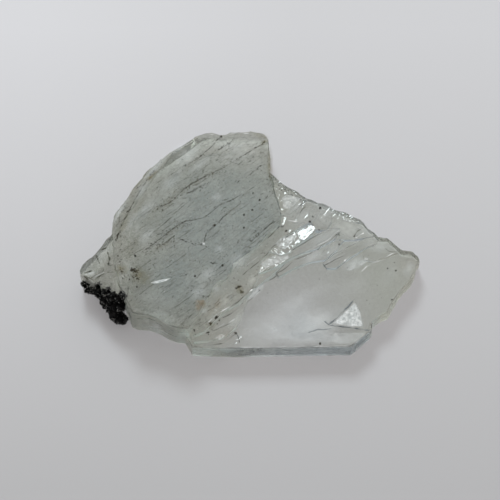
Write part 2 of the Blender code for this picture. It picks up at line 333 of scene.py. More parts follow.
# The splinters of the broken back edge, which overlap like shingles. Each is an outline, a point on its
# face, the face's rise to the right and to the back, and how rough its chips are and how large.
SPLINTERS = {
    "crumbled_notch": (
        [(2.4, 9.4), (2.0, 7.5), (3.2, 5.5), (3.6, 3.2), (5.4, 3.2), (6.4, 4.1), (7.6, 5.5), (6.4, 6.5),
         (5.3, 7.1), (4.3, 7.9), (3.5, 8.8)],
        (5.0, 5.6, 4.25), 0.06, -0.15, 0.05, 0.14),
    "grey_block": (
        [(5.2, 3.6), (3.0, 2.5), (3.0, -0.8), (5.3, 0.4), (6.9, 1.5), (8.9, 2.6), (9.7, 4.1), (8.8, 4.9),
         (7.7, 5.4), (6.9, 4.6)],
        (6.5, 3.0, 4.50), 0, -0.1, 0.008, 0.8),
    "brown_block": (
        [(8.6, 5.0), (8.0, 2.5), (8.7, 1.0), (10.2, 0.9), (11.0, 2.4), (10.9, 4.3), (9.8, 4.9)],
        (9.6, 3.0, 4.35), -0.01, -0.1, 0.007, 0.6),
    "bright_blade": (
        [(8.0, 1.6), (6.4, 0.9), (4.8, 0.0), (3.4, -1.0), (2.6, -1.6), (3.2, -2.3), (4.3, -2.7),
         (5.7, -1.6), (6.8, -0.7), (8.4, 0.3), (8.8, 1.2)],
        (6.0, -0.5, 4.70), 0.025, -0.115, 0.026, 0.28),
    "bright_tip": (
        [(6.2, 0.5), (6.6, -0.45), (7.2, -0.6), (7.9, 0.1), (8.7, 1.1), (8.5, 1.6), (7.8, 1.6),
         (7.1, 1.15)],
        (7.4, 0.6, 4.76), 0.08, -0.18, 0.014, 0.4),
    "bright_foot": (
        [(2.6, -2.2), (4.2, -2.7), (5.4, -2.3), (5.7, -1.8), (5.4, -1.1), (4.6, -0.7), (3.9, -0.9),
         (3.3, -1.5)],
        (4.5, -1.4, 4.92), 0.083, -0.18, 0.034, 0.26),
    "crumbled_blade": (
        [(0.4, -3.6), (0.6, -4.8), (1.4, -5.2), (2.8, -4.6), (4.2, -3.9), (5.7, -2.9), (5.6, -2.2),
         (4.6, -2.4), (3.6, -2.0), (2.6, -2.6)],
        (3.2, -3.4, 4.75), 0.083, -0.186, 0.036, 0.18),
    "grey_blade": (
        [(4.6, -2.7), (5.2, -3.1), (6.5, -2.5), (8.9, -1.6), (11.3, -0.2), (12.1, 1.3), (10.4, 1.3),
         (8.8, 0.3), (7.2, -0.8), (5.7, -1.7)],
        (8.0, -0.8, 4.50), 0, -0.09, 0.006, 1),
    "dark_face": (
        [(3.4, -4.9), (3.9, -5.4), (5.8, -4.2), (8.0, -3.3), (10.0, -3.0), (11.6, -1.6), (12.6, -0.1),
         (12.0, 0.8), (8.9, -1.2), (6.5, -2.3), (5.2, -3.0)],
        (8.5, -2.6, 4.00), 0, -0.08, 0.006, 1.4),
    "dull_blade": (
        [(9.7, -3.5), (10.2, -4.2), (11.4, -4.2), (12.8, -3.0), (14.9, -1.6), (16.6, -0.8), (17.4, 0.2),
         (16.0, 0.4), (13.5, -0.9), (11.2, -2.2)],
        (13.0, -1.8, 3.85), -0.01, -0.06, 0.006, 1),
    "back_rim": (
        [(10.4, 4.6), (10.6, 3.4), (11.7, 3.0), (13.3, 2.4), (14.7, 2.0), (15.0, 2.6), (13.7, 3.2),
         (12.8, 3.8), (11.7, 4.1)],
        (12.6, 3.2, 3.85), 0.02, -0.08, 0.022, 0.25),
    "blue_block": (
        [(10.4, 3.6), (9.8, 1.6), (11.2, -0.2), (13.9, -0.2), (16.8, 0.4), (16.1, 1.1), (14.9, 2.1),
         (13.3, 2.7), (11.9, 3.2)],
        (12.8, 1.4, 3.90), 0, -0.06, 0.006, 1),
    "end_blade": (
        [(14.9, -1.8), (15.2, -2.9), (16.4, -3.2), (18.6, -2.4), (20.3, -1.6), (19.2, -0.6), (18.4, 0.2),
         (17.3, 0.4), (16.0, 0.3)],
        (17.0, -1.5, 3.55), 0, -0.05, 0.006, 1),
}
# Scooped flakes in the top faces: centre, half sizes and turn in degrees.
SCOOPS = [
    ((13.9, -3.6, 4.15), (2.0, 0.95, 0.85), 32.0),
    ((-1.4, -13.4, 4.5), (2.6, 1.3, 1.5), 35.0),
]


def closed(index):
    """A grid of point numbers whose rows close into rings: its first column again after its last."""
    return np.concatenate([index, index[..., :1]], axis=-1)


def ball_angles(around, up):
    """For a ball of up rings of around points: each point's angle from the pole and its angle around."""
    return np.meshgrid(np.pi * np.arange(1, up + 1) / (up + 1), 2.0 * np.pi * np.arange(around) / around,
                       indexing="ij")


def ball_points(polar, angle):
    """A ball's points from pole to pole, at radius 1: sine of polar times cosine and sine of angle, and
    cosine of polar."""
    rings = np.stack([np.sin(polar) * np.cos(angle), np.sin(polar) * np.sin(angle), np.cos(polar)], axis=-1)
    return np.concatenate([[[0.0, 0.0, 1.0]], rings.reshape(-1, 3), [[0.0, 0.0, -1.0]]])


def ball_faces(count, around, up):
    """The faces of balls whose points run pole, rings, pole: a fan at each pole and quads between rings."""
    last = 1 + up * around
    rings = closed(np.arange(1, last).reshape(up, around))
    cap = np.stack([np.zeros(around, int), rings[0, :-1], rings[0, 1:]], axis=-1)
    foot = np.stack([np.full(around, last), rings[-1, 1:], rings[-1, :-1]], axis=-1)
    start = np.arange(count)[:, None, None] * (last + 1)
    parts = [(start + part).reshape(-1, part.shape[1]).tolist() for part in (cap, foot, quads_of(rings))]
    return parts[0] + parts[1] + parts[2]


def scoop(centre, half, turn, seed):
    """A flake's hollow: an ellipsoid with a rippled skin, turned about the upright."""
    around, up = 48, 29
    polar, angle = ball_angles(around, up)
    skin = 1.0 + 0.05 * noise(3.0 + angle * 2.5, polar * 8.0, seed) * np.sin(polar)
    unit = ball_points(polar, angle) * np.concatenate([[1.0], skin.ravel(), [1.0]])[:, None] * half
    c, s = math.cos(math.radians(turn)), math.sin(math.radians(turn))
    points = np.stack([unit[:, 0] * c - unit[:, 1] * s, unit[:, 0] * s + unit[:, 1] * c, unit[:, 2]], axis=-1)
    return object_of("scoop", points + centre, ball_faces(1, around, up))


def bevel_cutter(start, end, fall):
    """A block with a flat top above the slab and the bevel as its underside, which cuts the slab to it."""
    def height(x, y):
        return np.minimum(bevel(x, y, start, end, fall), SLAB_TOP + 1.0)
    block = cleavage_block("bevel", SLAB_OUTLINE, SLAB_TOP + 2.0, height, (0.4, 0.2))
    block.data.flip_normals()
    return block


def slab_roughness(x, y):
    """The slab's front wall is smoother than its back and left walls."""
    return np.where(y < -9.0, 0.35, 1.0)


def plate_roughness(x, y):
    """The plate's front is a smooth prism face; the rest of its wall is broken."""
    return np.where((y < -14.3) & (x < 14.0), 0.08, 1.0)


crystal = cleavage_layer("barite_crystal_body", PLATE_OUTLINE, 0.0, plate_face, PLATE_TOP, 100,
                         cell=(0.3, 0.2), chip=0.14, ledge=0.07, rough=plate_roughness)
layers = [
    cleavage_layer("slab", SLAB_OUTLINE, SLAB_FOOT, slab_cleavage, SLAB_TOP, 110,
                   cell=(0.4, 0.09), chip=0.14, ledge=0.14, rough=slab_roughness),
    cleavage_layer("lobe", LOBE_OUTLINE, LOBE_FOOT, lobe_face, LOBE_TOP, 120,
                   cell=(0.2, 0.12), chip=0.10, ledge=0.08),
    cleavage_layer("upper_terrace", UPPER_TERRACE_OUTLINE, UPPER_TERRACE_FOOT, upper_terrace_face,
                   UPPER_TERRACE_TOP, 130, cell=(0.16, 0.1), chip=0.16, ledge=0.10),
    cleavage_layer("lower_terrace", LOWER_TERRACE_OUTLINE, LOWER_TERRACE_FOOT, lower_terrace_face,
                   LOWER_TERRACE_TOP, 140, cell=(0.16, 0.1), chip=0.16, ledge=0.08),
]
for i, (name, (outline, at, rise_x, rise_y, rough, size)) in enumerate(SPLINTERS.items()):
    height = blade_face(at, rise_x, rise_y, rough, size, 200 + 10 * i)
    # Each starts a little higher than the one before, so that no two undersides are in one plane.
    foot = LOWER_TERRACE_FOOT + 0.1 * i
    layers.append(cleavage_layer(name, outline, foot, height, at[2] + 2.0, 150 + 10 * i,
                                 cell=(0.11, 0.09), chip=0.06, ledge=0.05))
for start, end, fall in BEVELS:
    combine(layers[0], bevel_cutter(start, end, fall), "DIFFERENCE")
for layer in layers:
    combine(crystal, layer, "UNION")
for i, (centre, half, turn) in enumerate(SCOOPS):
    combine(crystal, scoop(centre, half, turn, 290 + i), "DIFFERENCE")

crystal.data.transform(Matrix.Scale(MM, 4))
crystal.data.shade_smooth()
crystal.data.set_sharp_from_angle(angle=SHARP_FROM)


def link_maths(tree, operation, first, second):
    """A Math node of two inputs, each a number or a socket; returns its output."""
    node = tree.nodes.new("ShaderNodeMath")
    node.operation = operation
    for socket, value in zip(node.inputs, (first, second)):
        if isinstance(value, bpy.types.NodeSocket):
            tree.links.new(value, socket)
        else:
            socket.default_value = value
    return node.outputs[0]


def link_range(tree, value, low, high, to_low=0.0, to_high=1.0):
    """A Map Range node from low..high to to_low..to_high, held at the ends; returns its output."""
    node = tree.nodes.new("ShaderNodeMapRange")
    tree.links.new(value, node.inputs["Value"])
    for key, number in (("From Min", low), ("From Max", high), ("To Min", to_low), ("To Max", to_high)):
        node.inputs[key].default_value = number
    return node.outputs["Result"]


def link_mix(tree, factor, first, second):
    """A colour mix by a socket from the first to the second, each of them a colour or a socket."""
    node = tree.nodes.new("ShaderNodeMix")
    node.data_type = "RGBA"
    tree.links.new(factor, node.inputs[0])
    for key, colour in ((6, first), (7, second)):
        if isinstance(colour, bpy.types.NodeSocket):
            tree.links.new(colour, node.inputs[key])
        else:
            node.inputs[key].default_value = (*colour, 1.0)
    return node.outputs[2]


def link_noise(tree, vector, scale, detail=4.0, roughness=0.55):
    """A noise texture on the given coordinates; returns its value."""
    node = tree.nodes.new("ShaderNodeTexNoise")
    tree.links.new(vector, node.inputs["Vector"])
    node.inputs["Scale"].default_value = scale
    node.inputs["Detail"].default_value = detail
    node.inputs["Roughness"].default_value = roughness
    return node.outputs["Fac"]


def split_xyz(tree, vector):
    """The x, y and z of a vector, as sockets."""
    node = tree.nodes.new("ShaderNodeSeparateXYZ")
    tree.links.new(vector, node.inputs[0])
    return node.outputs


def link_distance(tree, vector, point):
    """The distance of the coordinates from a point; returns its output."""
    node = tree.nodes.new("ShaderNodeVectorMath")
    node.operation = "DISTANCE"
    tree.links.new(vector, node.inputs[0])
    node.inputs[1].default_value = point
    return node.outputs["Value"]


def grain_coordinates(tree, place, stretch):
    """Coordinates turned to the crystal's grain and squeezed along it by stretch, so that a pattern on
    them is drawn out along the grain."""
    turn = tree.nodes.new("ShaderNodeMapping")
    turn.inputs["Rotation"].default_value = (0.0, 0.0, -GRAIN_ANGLE)
    squeeze = tree.nodes.new("ShaderNodeMapping")
    squeeze.inputs["Scale"].default_value = (1.0 / stretch, 1.0, 1.0)
    tree.links.new(place, turn.inputs["Vector"])
    tree.links.new(turn.outputs["Vector"], squeeze.inputs["Vector"])
    return squeeze.outputs["Vector"]


def new_material(name):
    """A new material, its node tree, its shader and its object coordinates."""
    made = bpy.data.materials.new(name)
    made.use_nodes = True
    tree = made.node_tree
    return made, tree, tree.nodes["Principled BSDF"], tree.nodes.new("ShaderNodeTexCoord").outputs["Object"]


BARITE_IOR = 1.636
ABSORPTION_COLOUR = (0.42, 0.50, 0.45)
ABSORPTION_PER_METRE = 40.0


def barite_material():
    """Clear barite: glass with barite's refractive index and a faint grey-green absorption. The slab and
    the lobe are clouded and the slab's face is lined along the grain; the plate is clean. The broken walls
    and the slab's back carry painted light and painted shade."""
    made, tree, shader, place = new_material("barite")
    shader.inputs["Transmission Weight"].default_value = 1.0
    shader.inputs["IOR"].default_value = BARITE_IOR
    grain = grain_coordinates(tree, place, 12.0)
    x, y, z = split_xyz(tree, place)
    # The slab and the lobe are clouded, the plate and the blades are clean.
    thick = link_range(tree, z, 0.0048, 0.0060)
    lobe = link_range(tree, x, -0.0185, -0.0165, 1.0, 0.0)
    clouded = link_maths(tree, "MAXIMUM", thick, lobe)
    cloud = link_range(tree, link_noise(tree, place, 260.0, 6.0, 0.7), 0.36, 0.64)
    speckle = link_range(tree, link_noise(tree, place, 2600.0, 3.0, 0.7), 0.40, 0.60)
    # The slab is bluish in its middle and yellower towards its rim; its back is painted lighter, a painted
    # sheen.
    inner = link_range(tree, link_distance(tree, place, (-0.003, 0.0005, 0.0065)), 0.005, 0.014, 1.0, 0.0)
    lower = link_range(tree, link_distance(tree, place, (-0.0095, -0.0065, 0.0065)), 0.002, 0.007, 1.0, 0.0)
    middle = link_maths(tree, "MAXIMUM", inner, lower)
    slab_dark = link_mix(tree, middle, (0.50, 0.51, 0.41), (0.42, 0.53, 0.54))
    slab_light = link_mix(tree, middle, (0.88, 0.88, 0.77), (0.66, 0.76, 0.77))
    # Painted sheen: the slab's back is mixed towards a pale colour.
    back = link_range(tree, y, 0.0085, 0.0125, 0.0, 0.8)
    body = link_mix(tree, back, link_mix(tree, cloud, slab_dark, slab_light), (1.0, 1.0, 0.92))
    bluish = link_mix(tree, link_maths(tree, "MULTIPLY", lobe, 0.2), body, (0.78, 0.85, 0.90))
    grainy = link_mix(tree, link_maths(tree, "MULTIPLY", speckle, 0.5), bluish, (0.38, 0.39, 0.32))
    ridge = link_maths(tree, "SUBTRACT", link_noise(tree, grain, 1500.0, 3.0, 0.6), 0.5)
    ridge = link_maths(tree, "ABSOLUTE", ridge, 0.0)
    hairlines = link_maths(tree, "MULTIPLY", link_range(tree, ridge, 0.0, 0.022, 1.0, 0.0), 0.55)
    lined = link_mix(tree, hairlines, grainy, (0.25, 0.26, 0.21))
    # The plate is clearest low down in its middle, greener to the right and brown at its tip.
    right = link_range(tree, link_distance(tree, place, (0.005, -0.0115, 0.0033)), 0.003, 0.014)
    tip = link_range(tree, link_distance(tree, place, (0.0225, -0.0035, 0.003)), 0.0005, 0.0035, 0.5, 0.0)
    plate_tint = link_mix(tree, right, (0.98, 1.0, 1.0), (0.84, 0.88, 0.80))
    tip_tint = link_mix(tree, tip, plate_tint, (0.62, 0.54, 0.42))
    # The terraces stand higher than the plate and are browner; the splinters are clean.
    raised = link_range(tree, z, 0.0035, 0.0043, 0.0, 0.85)
    splintered = link_range(tree, x, 0.002, 0.007)
    raised_tint = link_mix(tree, splintered, (0.76, 0.75, 0.61), (0.79, 0.81, 0.78))
    greyed = link_mix(tree, raised, tip_tint, raised_tint)
    plate = link_mix(tree, link_maths(tree, "MULTIPLY", speckle, 0.2), greyed, (0.55, 0.55, 0.48))
    # The broken walls are painted paler than the faces, a painted light, and those at the front are painted
    # darker, a painted shade: brownish at the left and at the plate's end, bluish between.
    normal = split_xyz(tree, tree.nodes.new("ShaderNodeNewGeometry").outputs["Normal"])
    wall = link_range(tree, link_maths(tree, "ABSOLUTE", normal["Z"], 0.0), 0.25, 0.6, 1.0, 0.0)
    # Painted shade: walls that face the front, away from the light, are darkened.
    front_shade_mask = link_range(tree, normal["Y"], -0.6, -0.2, 1.0, 0.0)
    pale_wall_light = link_mix(tree, link_maths(tree, "MULTIPLY", wall, 0.7), link_mix(tree, clouded, plate, lined),
                    (1.0, 1.0, 0.97))
    to_right = link_range(tree, x, -0.004, 0.010)
    to_end = link_range(tree, x, 0.0155, 0.0175)
    bluer_front_shade = link_mix(tree, to_right, (0.76, 0.71, 0.66), (0.56, 0.60, 0.66))
    front_shade_tint = link_mix(tree, to_end, bluer_front_shade, (0.70, 0.66, 0.58))
    front_shaded = link_mix(tree, link_maths(tree, "MULTIPLY", wall, front_shade_mask), pale_wall_light, front_shade_tint)
    tree.links.new(front_shaded, shader.inputs["Base Color"])
    # Cleavage faces are glossy, the broken walls are frosted, and the underside is rough.
    upright = link_range(tree, normal["Z"], 0.25, 0.6, 0.6, 0.0)
    front = link_range(tree, y, -0.0148, -0.0144, 0.3, 1.0)
    face = link_maths(tree, "ADD", link_range(tree, cloud, 0.0, 1.0, 0.03, 0.09),
                      link_maths(tree, "MULTIPLY", thick, 0.16))
    tree.links.new(link_maths(tree, "ADD", face, link_maths(tree, "MULTIPLY", upright, front)),
                   shader.inputs["Roughness"])
    absorption = tree.nodes.new("ShaderNodeVolumeAbsorption")
    absorption.inputs["Color"].default_value = (*ABSORPTION_COLOUR, 1.0)
    absorption.inputs["Density"].default_value = ABSORPTION_PER_METRE
    tree.links.new(absorption.outputs["Volume"], tree.nodes["Material Output"].inputs["Volume"])
    return made


# The joining leaves empty material slots, which come off first.
crystal.data.materials.clear()
crystal.data.materials.append(barite_material())
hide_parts("barite_crystal")
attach(crystal, "root")
# Light scattered by the sheet below passes up through the crystal instead of being lost in it.
crystal.visible_diffuse = False


# ---------------------------------------------------------------------------------------------------
# Cleavage cracks. Upright cracks run along the grain from the cleavage faces down into the crystal, and
# dark dirt has worked into them; the dark lines along the steps are painted shade. Each is a thin blade whose
# upper edge is just under or just above the face.
SLAB_CRACKS = [
    [(-8.8, 9.3), (-6.9, 10.5), (-5.2, 12.1), (-3.9, 13.7)],
    [(-12.3, 3.3), (-10.7, 4.0), (-8.8, 6.0), (-7.5, 7.0), (-5.9, 7.9), (-4.3, 8.7), (-2.7, 9.7),
     (-0.5, 11.1), (2.1, 12.9)],
    [(-8.5, 5.4), (-7.2, 6.0), (-5.3, 7.1)], [(-4.3, 11.6), (-3.2, 12.4), (-1.9, 13.4)],
    [(0.0, 8.1), (0.5, 8.6), (1.7, 9.6)],
    [(-14.1, -2.8), (-12.3, -1.4), (-9.9, 0.6), (-8.5, 1.5), (-6.1, 2.0), (-3.7, 4.0), (-2.1, 4.6)],
    [(-12.3, -1.9), (-10.9, -1.4), (-9.9, -0.5)],
    [(-6.1, -1.4), (-5.6, 0.0), (-4.5, 1.0), (-3.3, 2.3), (-2.1, 3.4)],
    [(-9.1, -1.1), (-7.2, -1.9), (-5.9, -1.7)],
    [(-12.4, 9.4), (-14.7, 6.0), (-16.0, 3.2), (-17.1, 0.6), (-17.8, -1.6)], [(4.0, 0.9), (1.1, -2.0)],
    [(3.2, 1.6), (0.0, -1.4)], [(-6.6, -8.2), (-6.4, -8.9), (-5.8, -9.1), (-5.1, -8.8)],
    [(-5.2, -4.5), (-4.4, -4.4)], [(-17.8, -4.8), (-17.6, -5.5), (-17.1, -5.4), (-16.9, -4.9)],
]
LOBE_CRACKS = [
    [(-20.4, -2.7), (-19.9, -3.8)],
    [(-19.3, -3.2), (-19.5, -3.6)],
    [(-19.7, -1.9), (-19.2, -1.7), (-18.8, -1.2)],
    [(-21.9, -5.2), (-21.0, -4.8)],
    [(-21.0, -5.8), (-20.4, -5.5)],
    [(-20.3, -5.8), (-19.3, -5.2)],
    [(-21.9, -5.6), (-21.4, -6.1)],
    [(-18.9, -2.2), (-18.6, -3.1), (-18.8, -4.0)],
]
# The dark lines between the splinters and on the terraces' steps: painted shade in the creases.
STEP_CRACKS = [
    [(7.7, 1.7), (6.4, 1.1), (5.3, 0.4)],
    [(4.0, -0.8), (2.9, -1.7), (2.3, -2.6), (1.6, -3.2)],
    [(7.4, 4.4), (6.9, 3.9), (6.6, 3.0)],
    [(2.7, -5.6), (4.5, -4.5), (5.7, -3.3)],
    [(6.0, -3.0), (7.1, -2.6), (9.0, -1.5), (10.5, -0.6), (12.1, 0.9)],
    [(9.8, -3.9), (11.3, -3.0), (12.8, -2.3)],
    [(15.2, 1.7), (14.3, 1.1), (13.9, 0.4)],
    [(18.0, -1.3), (18.5, -1.7), (20.0, -1.8), (20.4, -1.5)],
    [(0.9, -6.8), (-0.2, -7.7), (-0.9, -8.6), (-1.7, -9.3), (-2.6, -9.9)],
    [(0.4, -8.1), (-0.3, -8.6), (-0.6, -9.3), (-0.8, -10.2)],
    [(-1.7, -13.0), (-2.5, -13.6), (-3.5, -14.4), (-5.5, -14.7)],
    [(-1.7, -13.2), (-1.4, -14.4)],
    [(2.4, 0.3), (1.2, -0.9), (-0.4, -2.3)],
    [(1.3, -3.6), (0.2, -4.5), (-1.0, -5.6)],
    [(-3.6, -11.2), (-2.6, -10.7), (-1.4, -9.6)],
    [(-5.0, -13.0), (-3.6, -12.4), (-2.7, -11.9)],
]
PLATE_CRACKS = [
    [(10.5, -11.9), (13.7, -8.6)],
    [(10.5, -12.0), (13.1, -12.3), (15.7, -12.7)],
    [(7.7, -13.0), (9.0, -12.6), (10.7, -12.5)],
    [(9.8, -11.4), (10.4, -12.0)],
]
# Painted highlights: pale blades on edges of steps and flakes that catch the light, as lines with their
# widths.
LIGHT_EDGES = {
    0.26: [[(12.0, -3.7), (12.5, -3.2), (13.0, -2.7), (13.2, -2.5)]],
    0.16: [[(-0.1, -7.9), (0.6, -7.3)], [(-3.0, -12.0), (-2.0, -11.3)], [(5.0, 2.3), (6.4, 2.1)],
           [(14.1, 0.0), (14.9, 0.7), (15.2, 0.8)], [(11.3, -4.3), (12.0, -3.8)]],
    0.10: [[(8.5, 0.9), (9.5, 0.6)], [(9.9, 0.8), (10.5, 1.2)], [(-20.4, -5.6), (-19.3, -5.0)],
           [(14.8, -4.5), (15.5, -3.7), (17.6, -2.8), (19.2, -2.0)], [(-4.4, -12.6), (-3.4, -11.9)],
           [(-21.9, -5.4), (-21.2, -5.2), (-20.6, -5.0)]],
    0.07: [[(5.8, -2.8), (7.0, -2.4), (8.9, -1.3), (10.4, -0.4), (12.0, 1.1)], [(9.7, -3.7), (12.7, -2.1)],
           [(-2.0, -15.0), (5.0, -15.0), (13.2, -14.8)], [(-1.4, -5.0), (0.6, -3.4), (1.8, -2.6)],
           [(-5.6, -12.2), (-3.9, -10.6), (-2.0, -9.5)], [(-5.4, 14.3), (-5.0, 14.2)],
           [(-2.9, 14.3), (-2.1, 14.55), (-1.4, 14.5)], [(-0.9, 14.6), (0.3, 14.7)]],
}


def inside(x, y, corners):
    """True where a point lies inside the outline: where a ray to the right crosses it an odd number of
    times."""
    ring = np.array(corners + corners[:1], float)
    x0, y0, x1, y1 = ring[:-1, 0], ring[:-1, 1], ring[1:, 0], ring[1:, 1]
    px, py = np.asarray(x)[..., None], np.asarray(y)[..., None]
    crosses = (y0 > py) != (y1 > py)
    with np.errstate(divide="ignore", invalid="ignore"):
        at = x0 + (py - y0) * (x1 - x0) / (y1 - y0)
    return (np.sum(crosses & (px < at), axis=-1) % 2) == 1


def crystal_top(x, y):
    """The height of the crystal's highest face over each point, with the splinters taken as planes."""
    top = plate_face(x, y)
    layer_faces = ((LOWER_TERRACE_OUTLINE, lower_terrace_face), (UPPER_TERRACE_OUTLINE, upper_terrace_face),
                   (LOBE_OUTLINE, lobe_face), (SLAB_OUTLINE, slab_face))
    for corners, face in layer_faces:
        top = np.where(inside(x, y, corners), np.maximum(top, face(x, y)), top)
    for corners, at, rise_x, rise_y, _, _ in SPLINTERS.values():
        plane = tilted_plane(x, y, at, rise_x, rise_y)
        top = np.where(inside(x, y, corners), np.maximum(top, plane), top)
    return top


def joined_tubes(name, sections):
    """A mesh of closed tubes from an array of (tube, section, corner, xyz), in millimetres."""
    index = np.arange(sections[..., 0].size).reshape(sections.shape[:3])
    ends = index[:, 0].tolist() + index[:, -1, ::-1].tolist()
    return object_of(name, sections.reshape(-1, 3), quads_of(closed(index)).tolist() + ends)


def crack_blades(lines, face, seed, width, depth, sink=0.02):
    """Blades for the lines, as an array of sections. Each blade's section is a flat diamond, which shrinks
    to nothing at the ends: its top corner lies sink below the face, or above it where sink is below zero,
    and its bottom corner depth lower. The line wanders sideways by a smooth noise of its length."""
    blades = []
    share = np.linspace(0.0, 1.0, 40)
    for number, line in enumerate(lines):
        points = np.array(line, float)
        here = share * walked(points)[-1]
        x, y = on_line(points, here).T
        along = np.stack([np.gradient(x), np.gradient(y)])
        along /= np.hypot(*along)
        row = np.full_like(here, number * 5.3)
        wander = 0.06 * noise(here / 1.1, row, seed) + 0.03 * noise(here / 0.35, row, seed + 1)
        x, y = x - along[1] * wander, y + along[0] * wander
        taper = np.clip(np.sin(np.pi * share) * 8.0, 0.02, 1.0)
        gap = np.clip(0.75 + 0.9 * noise(here / 0.45, row, seed + 2), 0.2, 1.5)
        half = 0.5 * width * taper * gap
        deep = depth * taper * gap * (0.6 + 0.4 * noise(here / 2.0, row, seed + 3))
        top = face(x, y) - sink
        lean = 0.12 * deep
        diamond = [
            (x, y, top),
            (x - along[1] * (half + lean), y + along[0] * (half + lean), top - 0.4 * deep),
            (x - along[1] * 2 * lean, y + along[0] * 2 * lean, top - deep),
            (x + along[1] * (half - lean), y - along[0] * (half - lean), top - 0.4 * deep),
        ]
        blades.append(np.stack([np.stack(corner, axis=-1) for corner in diamond], axis=1))
    return np.array(blades)


def in_box(rng, corners, count):
    """The x and y of random places in the box around an outline."""
    (x0, y0), (x1, y1) = np.min(corners, axis=0), np.max(corners, axis=0)
    return rng.uniform(x0, x1, count), rng.uniform(y0, y1, count)


def short_lines(corners, count, length, spread, seed):
    """Random short lines inside the outline, along the grain within spread degrees."""
    rng = np.random.default_rng(seed)
    tries = 8 * count
    x, y = in_box(rng, corners, tries)
    half = rng.uniform(*length, tries) / 2.0
    turn = GRAIN_ANGLE + np.radians(rng.normal(0.0, spread, tries))
    dx, dy = half * np.cos(turn), half * np.sin(turn)
    fits = inside(x, y, corners) & inside(x - 1.3 * dx, y - 1.3 * dy, corners)
    fits &= inside(x + 1.3 * dx, y + 1.3 * dy, corners)
    ends = np.stack([np.stack([x - dx, y - dy], -1), np.stack([x + dx, y + dy], -1)], axis=1)
    return ends[fits][:count].tolist()


def finish(obj, material):
    """Turns a mesh from millimetres to metres and gives it its material."""
    obj.data.transform(Matrix.Scale(MM, 4))
    obj.data.materials.append(material)


def dull_mottled_material(name, dark, light):
    """A dull colour, mottled from dark to light, for dirt and for painted highlights and painted shade."""
    made, tree, shader, place = new_material(name)
    patch = link_range(tree, link_noise(tree, place, 900.0), 0.35, 0.65)
    tree.links.new(link_mix(tree, patch, dark, light), shader.inputs["Base Color"])
    shader.inputs["Roughness"].default_value = 0.85
    return made


# Between the long cracks at their own places, short ones are strewn along the grain.
long_hairlines = short_lines(SLAB_OUTLINE, 60, length=(0.8, 4.0), spread=3.0, seed=350)
short_hairlines = short_lines(SLAB_OUTLINE, 200, length=(0.2, 0.7), spread=25.0, seed=360)
lobe_hairlines = short_lines(LOBE_OUTLINE, 24, length=(0.3, 1.0), spread=40.0, seed=365)
terrace_hairlines = short_lines(UPPER_TERRACE_OUTLINE, 26, length=(0.5, 2.0), spread=10.0, seed=370)
cracks = joined_tubes("cleavage_cracks", np.concatenate([
    crack_blades(SLAB_CRACKS, slab_face, 300, width=0.075, depth=0.25),
    crack_blades(LOBE_CRACKS, lobe_face, 310, width=0.26, depth=0.3, sink=-0.13),
    crack_blades(STEP_CRACKS, crystal_top, 320, width=0.075, depth=0.2, sink=-0.04),
    crack_blades(long_hairlines, slab_face, 351, width=0.05, depth=0.12),
    crack_blades(short_hairlines, slab_face, 361, width=0.06, depth=0.08),
    crack_blades(lobe_hairlines, lobe_face, 366, width=0.06, depth=0.12, sink=-0.02),
    crack_blades(terrace_hairlines, upper_terrace_face, 371, width=0.06, depth=0.2),
]))
finish(cracks, dull_mottled_material("crack_dirt_and_shade", (0.04, 0.042, 0.032), (0.15, 0.15, 0.115)))
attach(cracks, "root")

# The cracks in the plate are open and clean, so they show blue-grey: a painted shade.
open_cracks = joined_tubes("open_cracks", crack_blades(PLATE_CRACKS, plate_face, 340,
                                                       width=0.17, depth=0.9, sink=-0.13))
finish(open_cracks, dull_mottled_material("crack_shade", (0.14, 0.16, 0.17), (0.26, 0.29, 0.30)))
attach(open_cracks, "root")

# Pale blades along the edges: painted highlights.
edges = joined_tubes("light_edges", np.concatenate([
    crack_blades(lines, crystal_top, 380 + i, width=width, depth=0.12, sink=-0.08)
    for i, (width, lines) in enumerate(LIGHT_EDGES.items())]))
finish(edges, dull_mottled_material("light_edge", (0.40, 0.42, 0.42), (0.95, 0.96, 0.96)))
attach(edges, "root")


# ---------------------------------------------------------------------------------------------------
# Dark specks. Tiny grains of black and brown mineral and dirt sit in the crystal's faces, some at places
# of their own and many strewn over the slab.
SLAB_SPECKS = [
    (-3.9, 13.8), (-9.1, 10.3), (-12.9, 2.8), (-17.3, 1.6), (-13.6, 0.1), (-15.2, -3.3), (-4.7, 0.9),
    (-0.8, 2.4), (0.3, 3.1), (0.4, 5.5), (-0.9, 5.2), (1.3, 4.5), (-0.8, 0.6), (0.0, -2.2), (-7.2, -6.2),
    (-5.1, -4.3), (-8.4, -6.0), (-3.6, -4.7), (-15.8, -6.7), (-14.8, -7.7), (-15.1, -3.4),
]
TERRACE_SPECKS = [
    (-5.2, -12.3), (-5.5, -13.2), (-4.4, -11.3), (-4.3, -12.0), (-1.4, -7.1), (-1.8, -7.4), (-1.2, -7.7),
    (-1.0, -8.0), (-1.8, -13.0), (9.4, 4.2), (8.4, 2.9), (8.0, 2.2), (2.7, -5.6), (13.9, 0.3),
    (-7.3, -13.2), (4.8, 0.8), (4.4, 1.2), (9.2, 1.0), (12.0, -0.2), (11.9, 0.5), (11.9, -0.8),
    (1.2, -7.1),
]
PLATE_SPECKS = [(18.8, -8.4), (9.2, -14.5), (18.3, -4.0), (19.4, -4.3)]
# Dust lies along the slab's cracks, in three bands, and along the rim's last points, which are at the left.
DUSTY_BANDS = [[(-12.3, 3.3), (-8.8, 6.0), (-5.5, 8.0)], [(-14.1, -2.8), (-9.9, 0.6), (-7.9, 1.4)],
               [(-12.6, -2.4), (-10.1, -1.2)]]
LEFT_RIM = 15


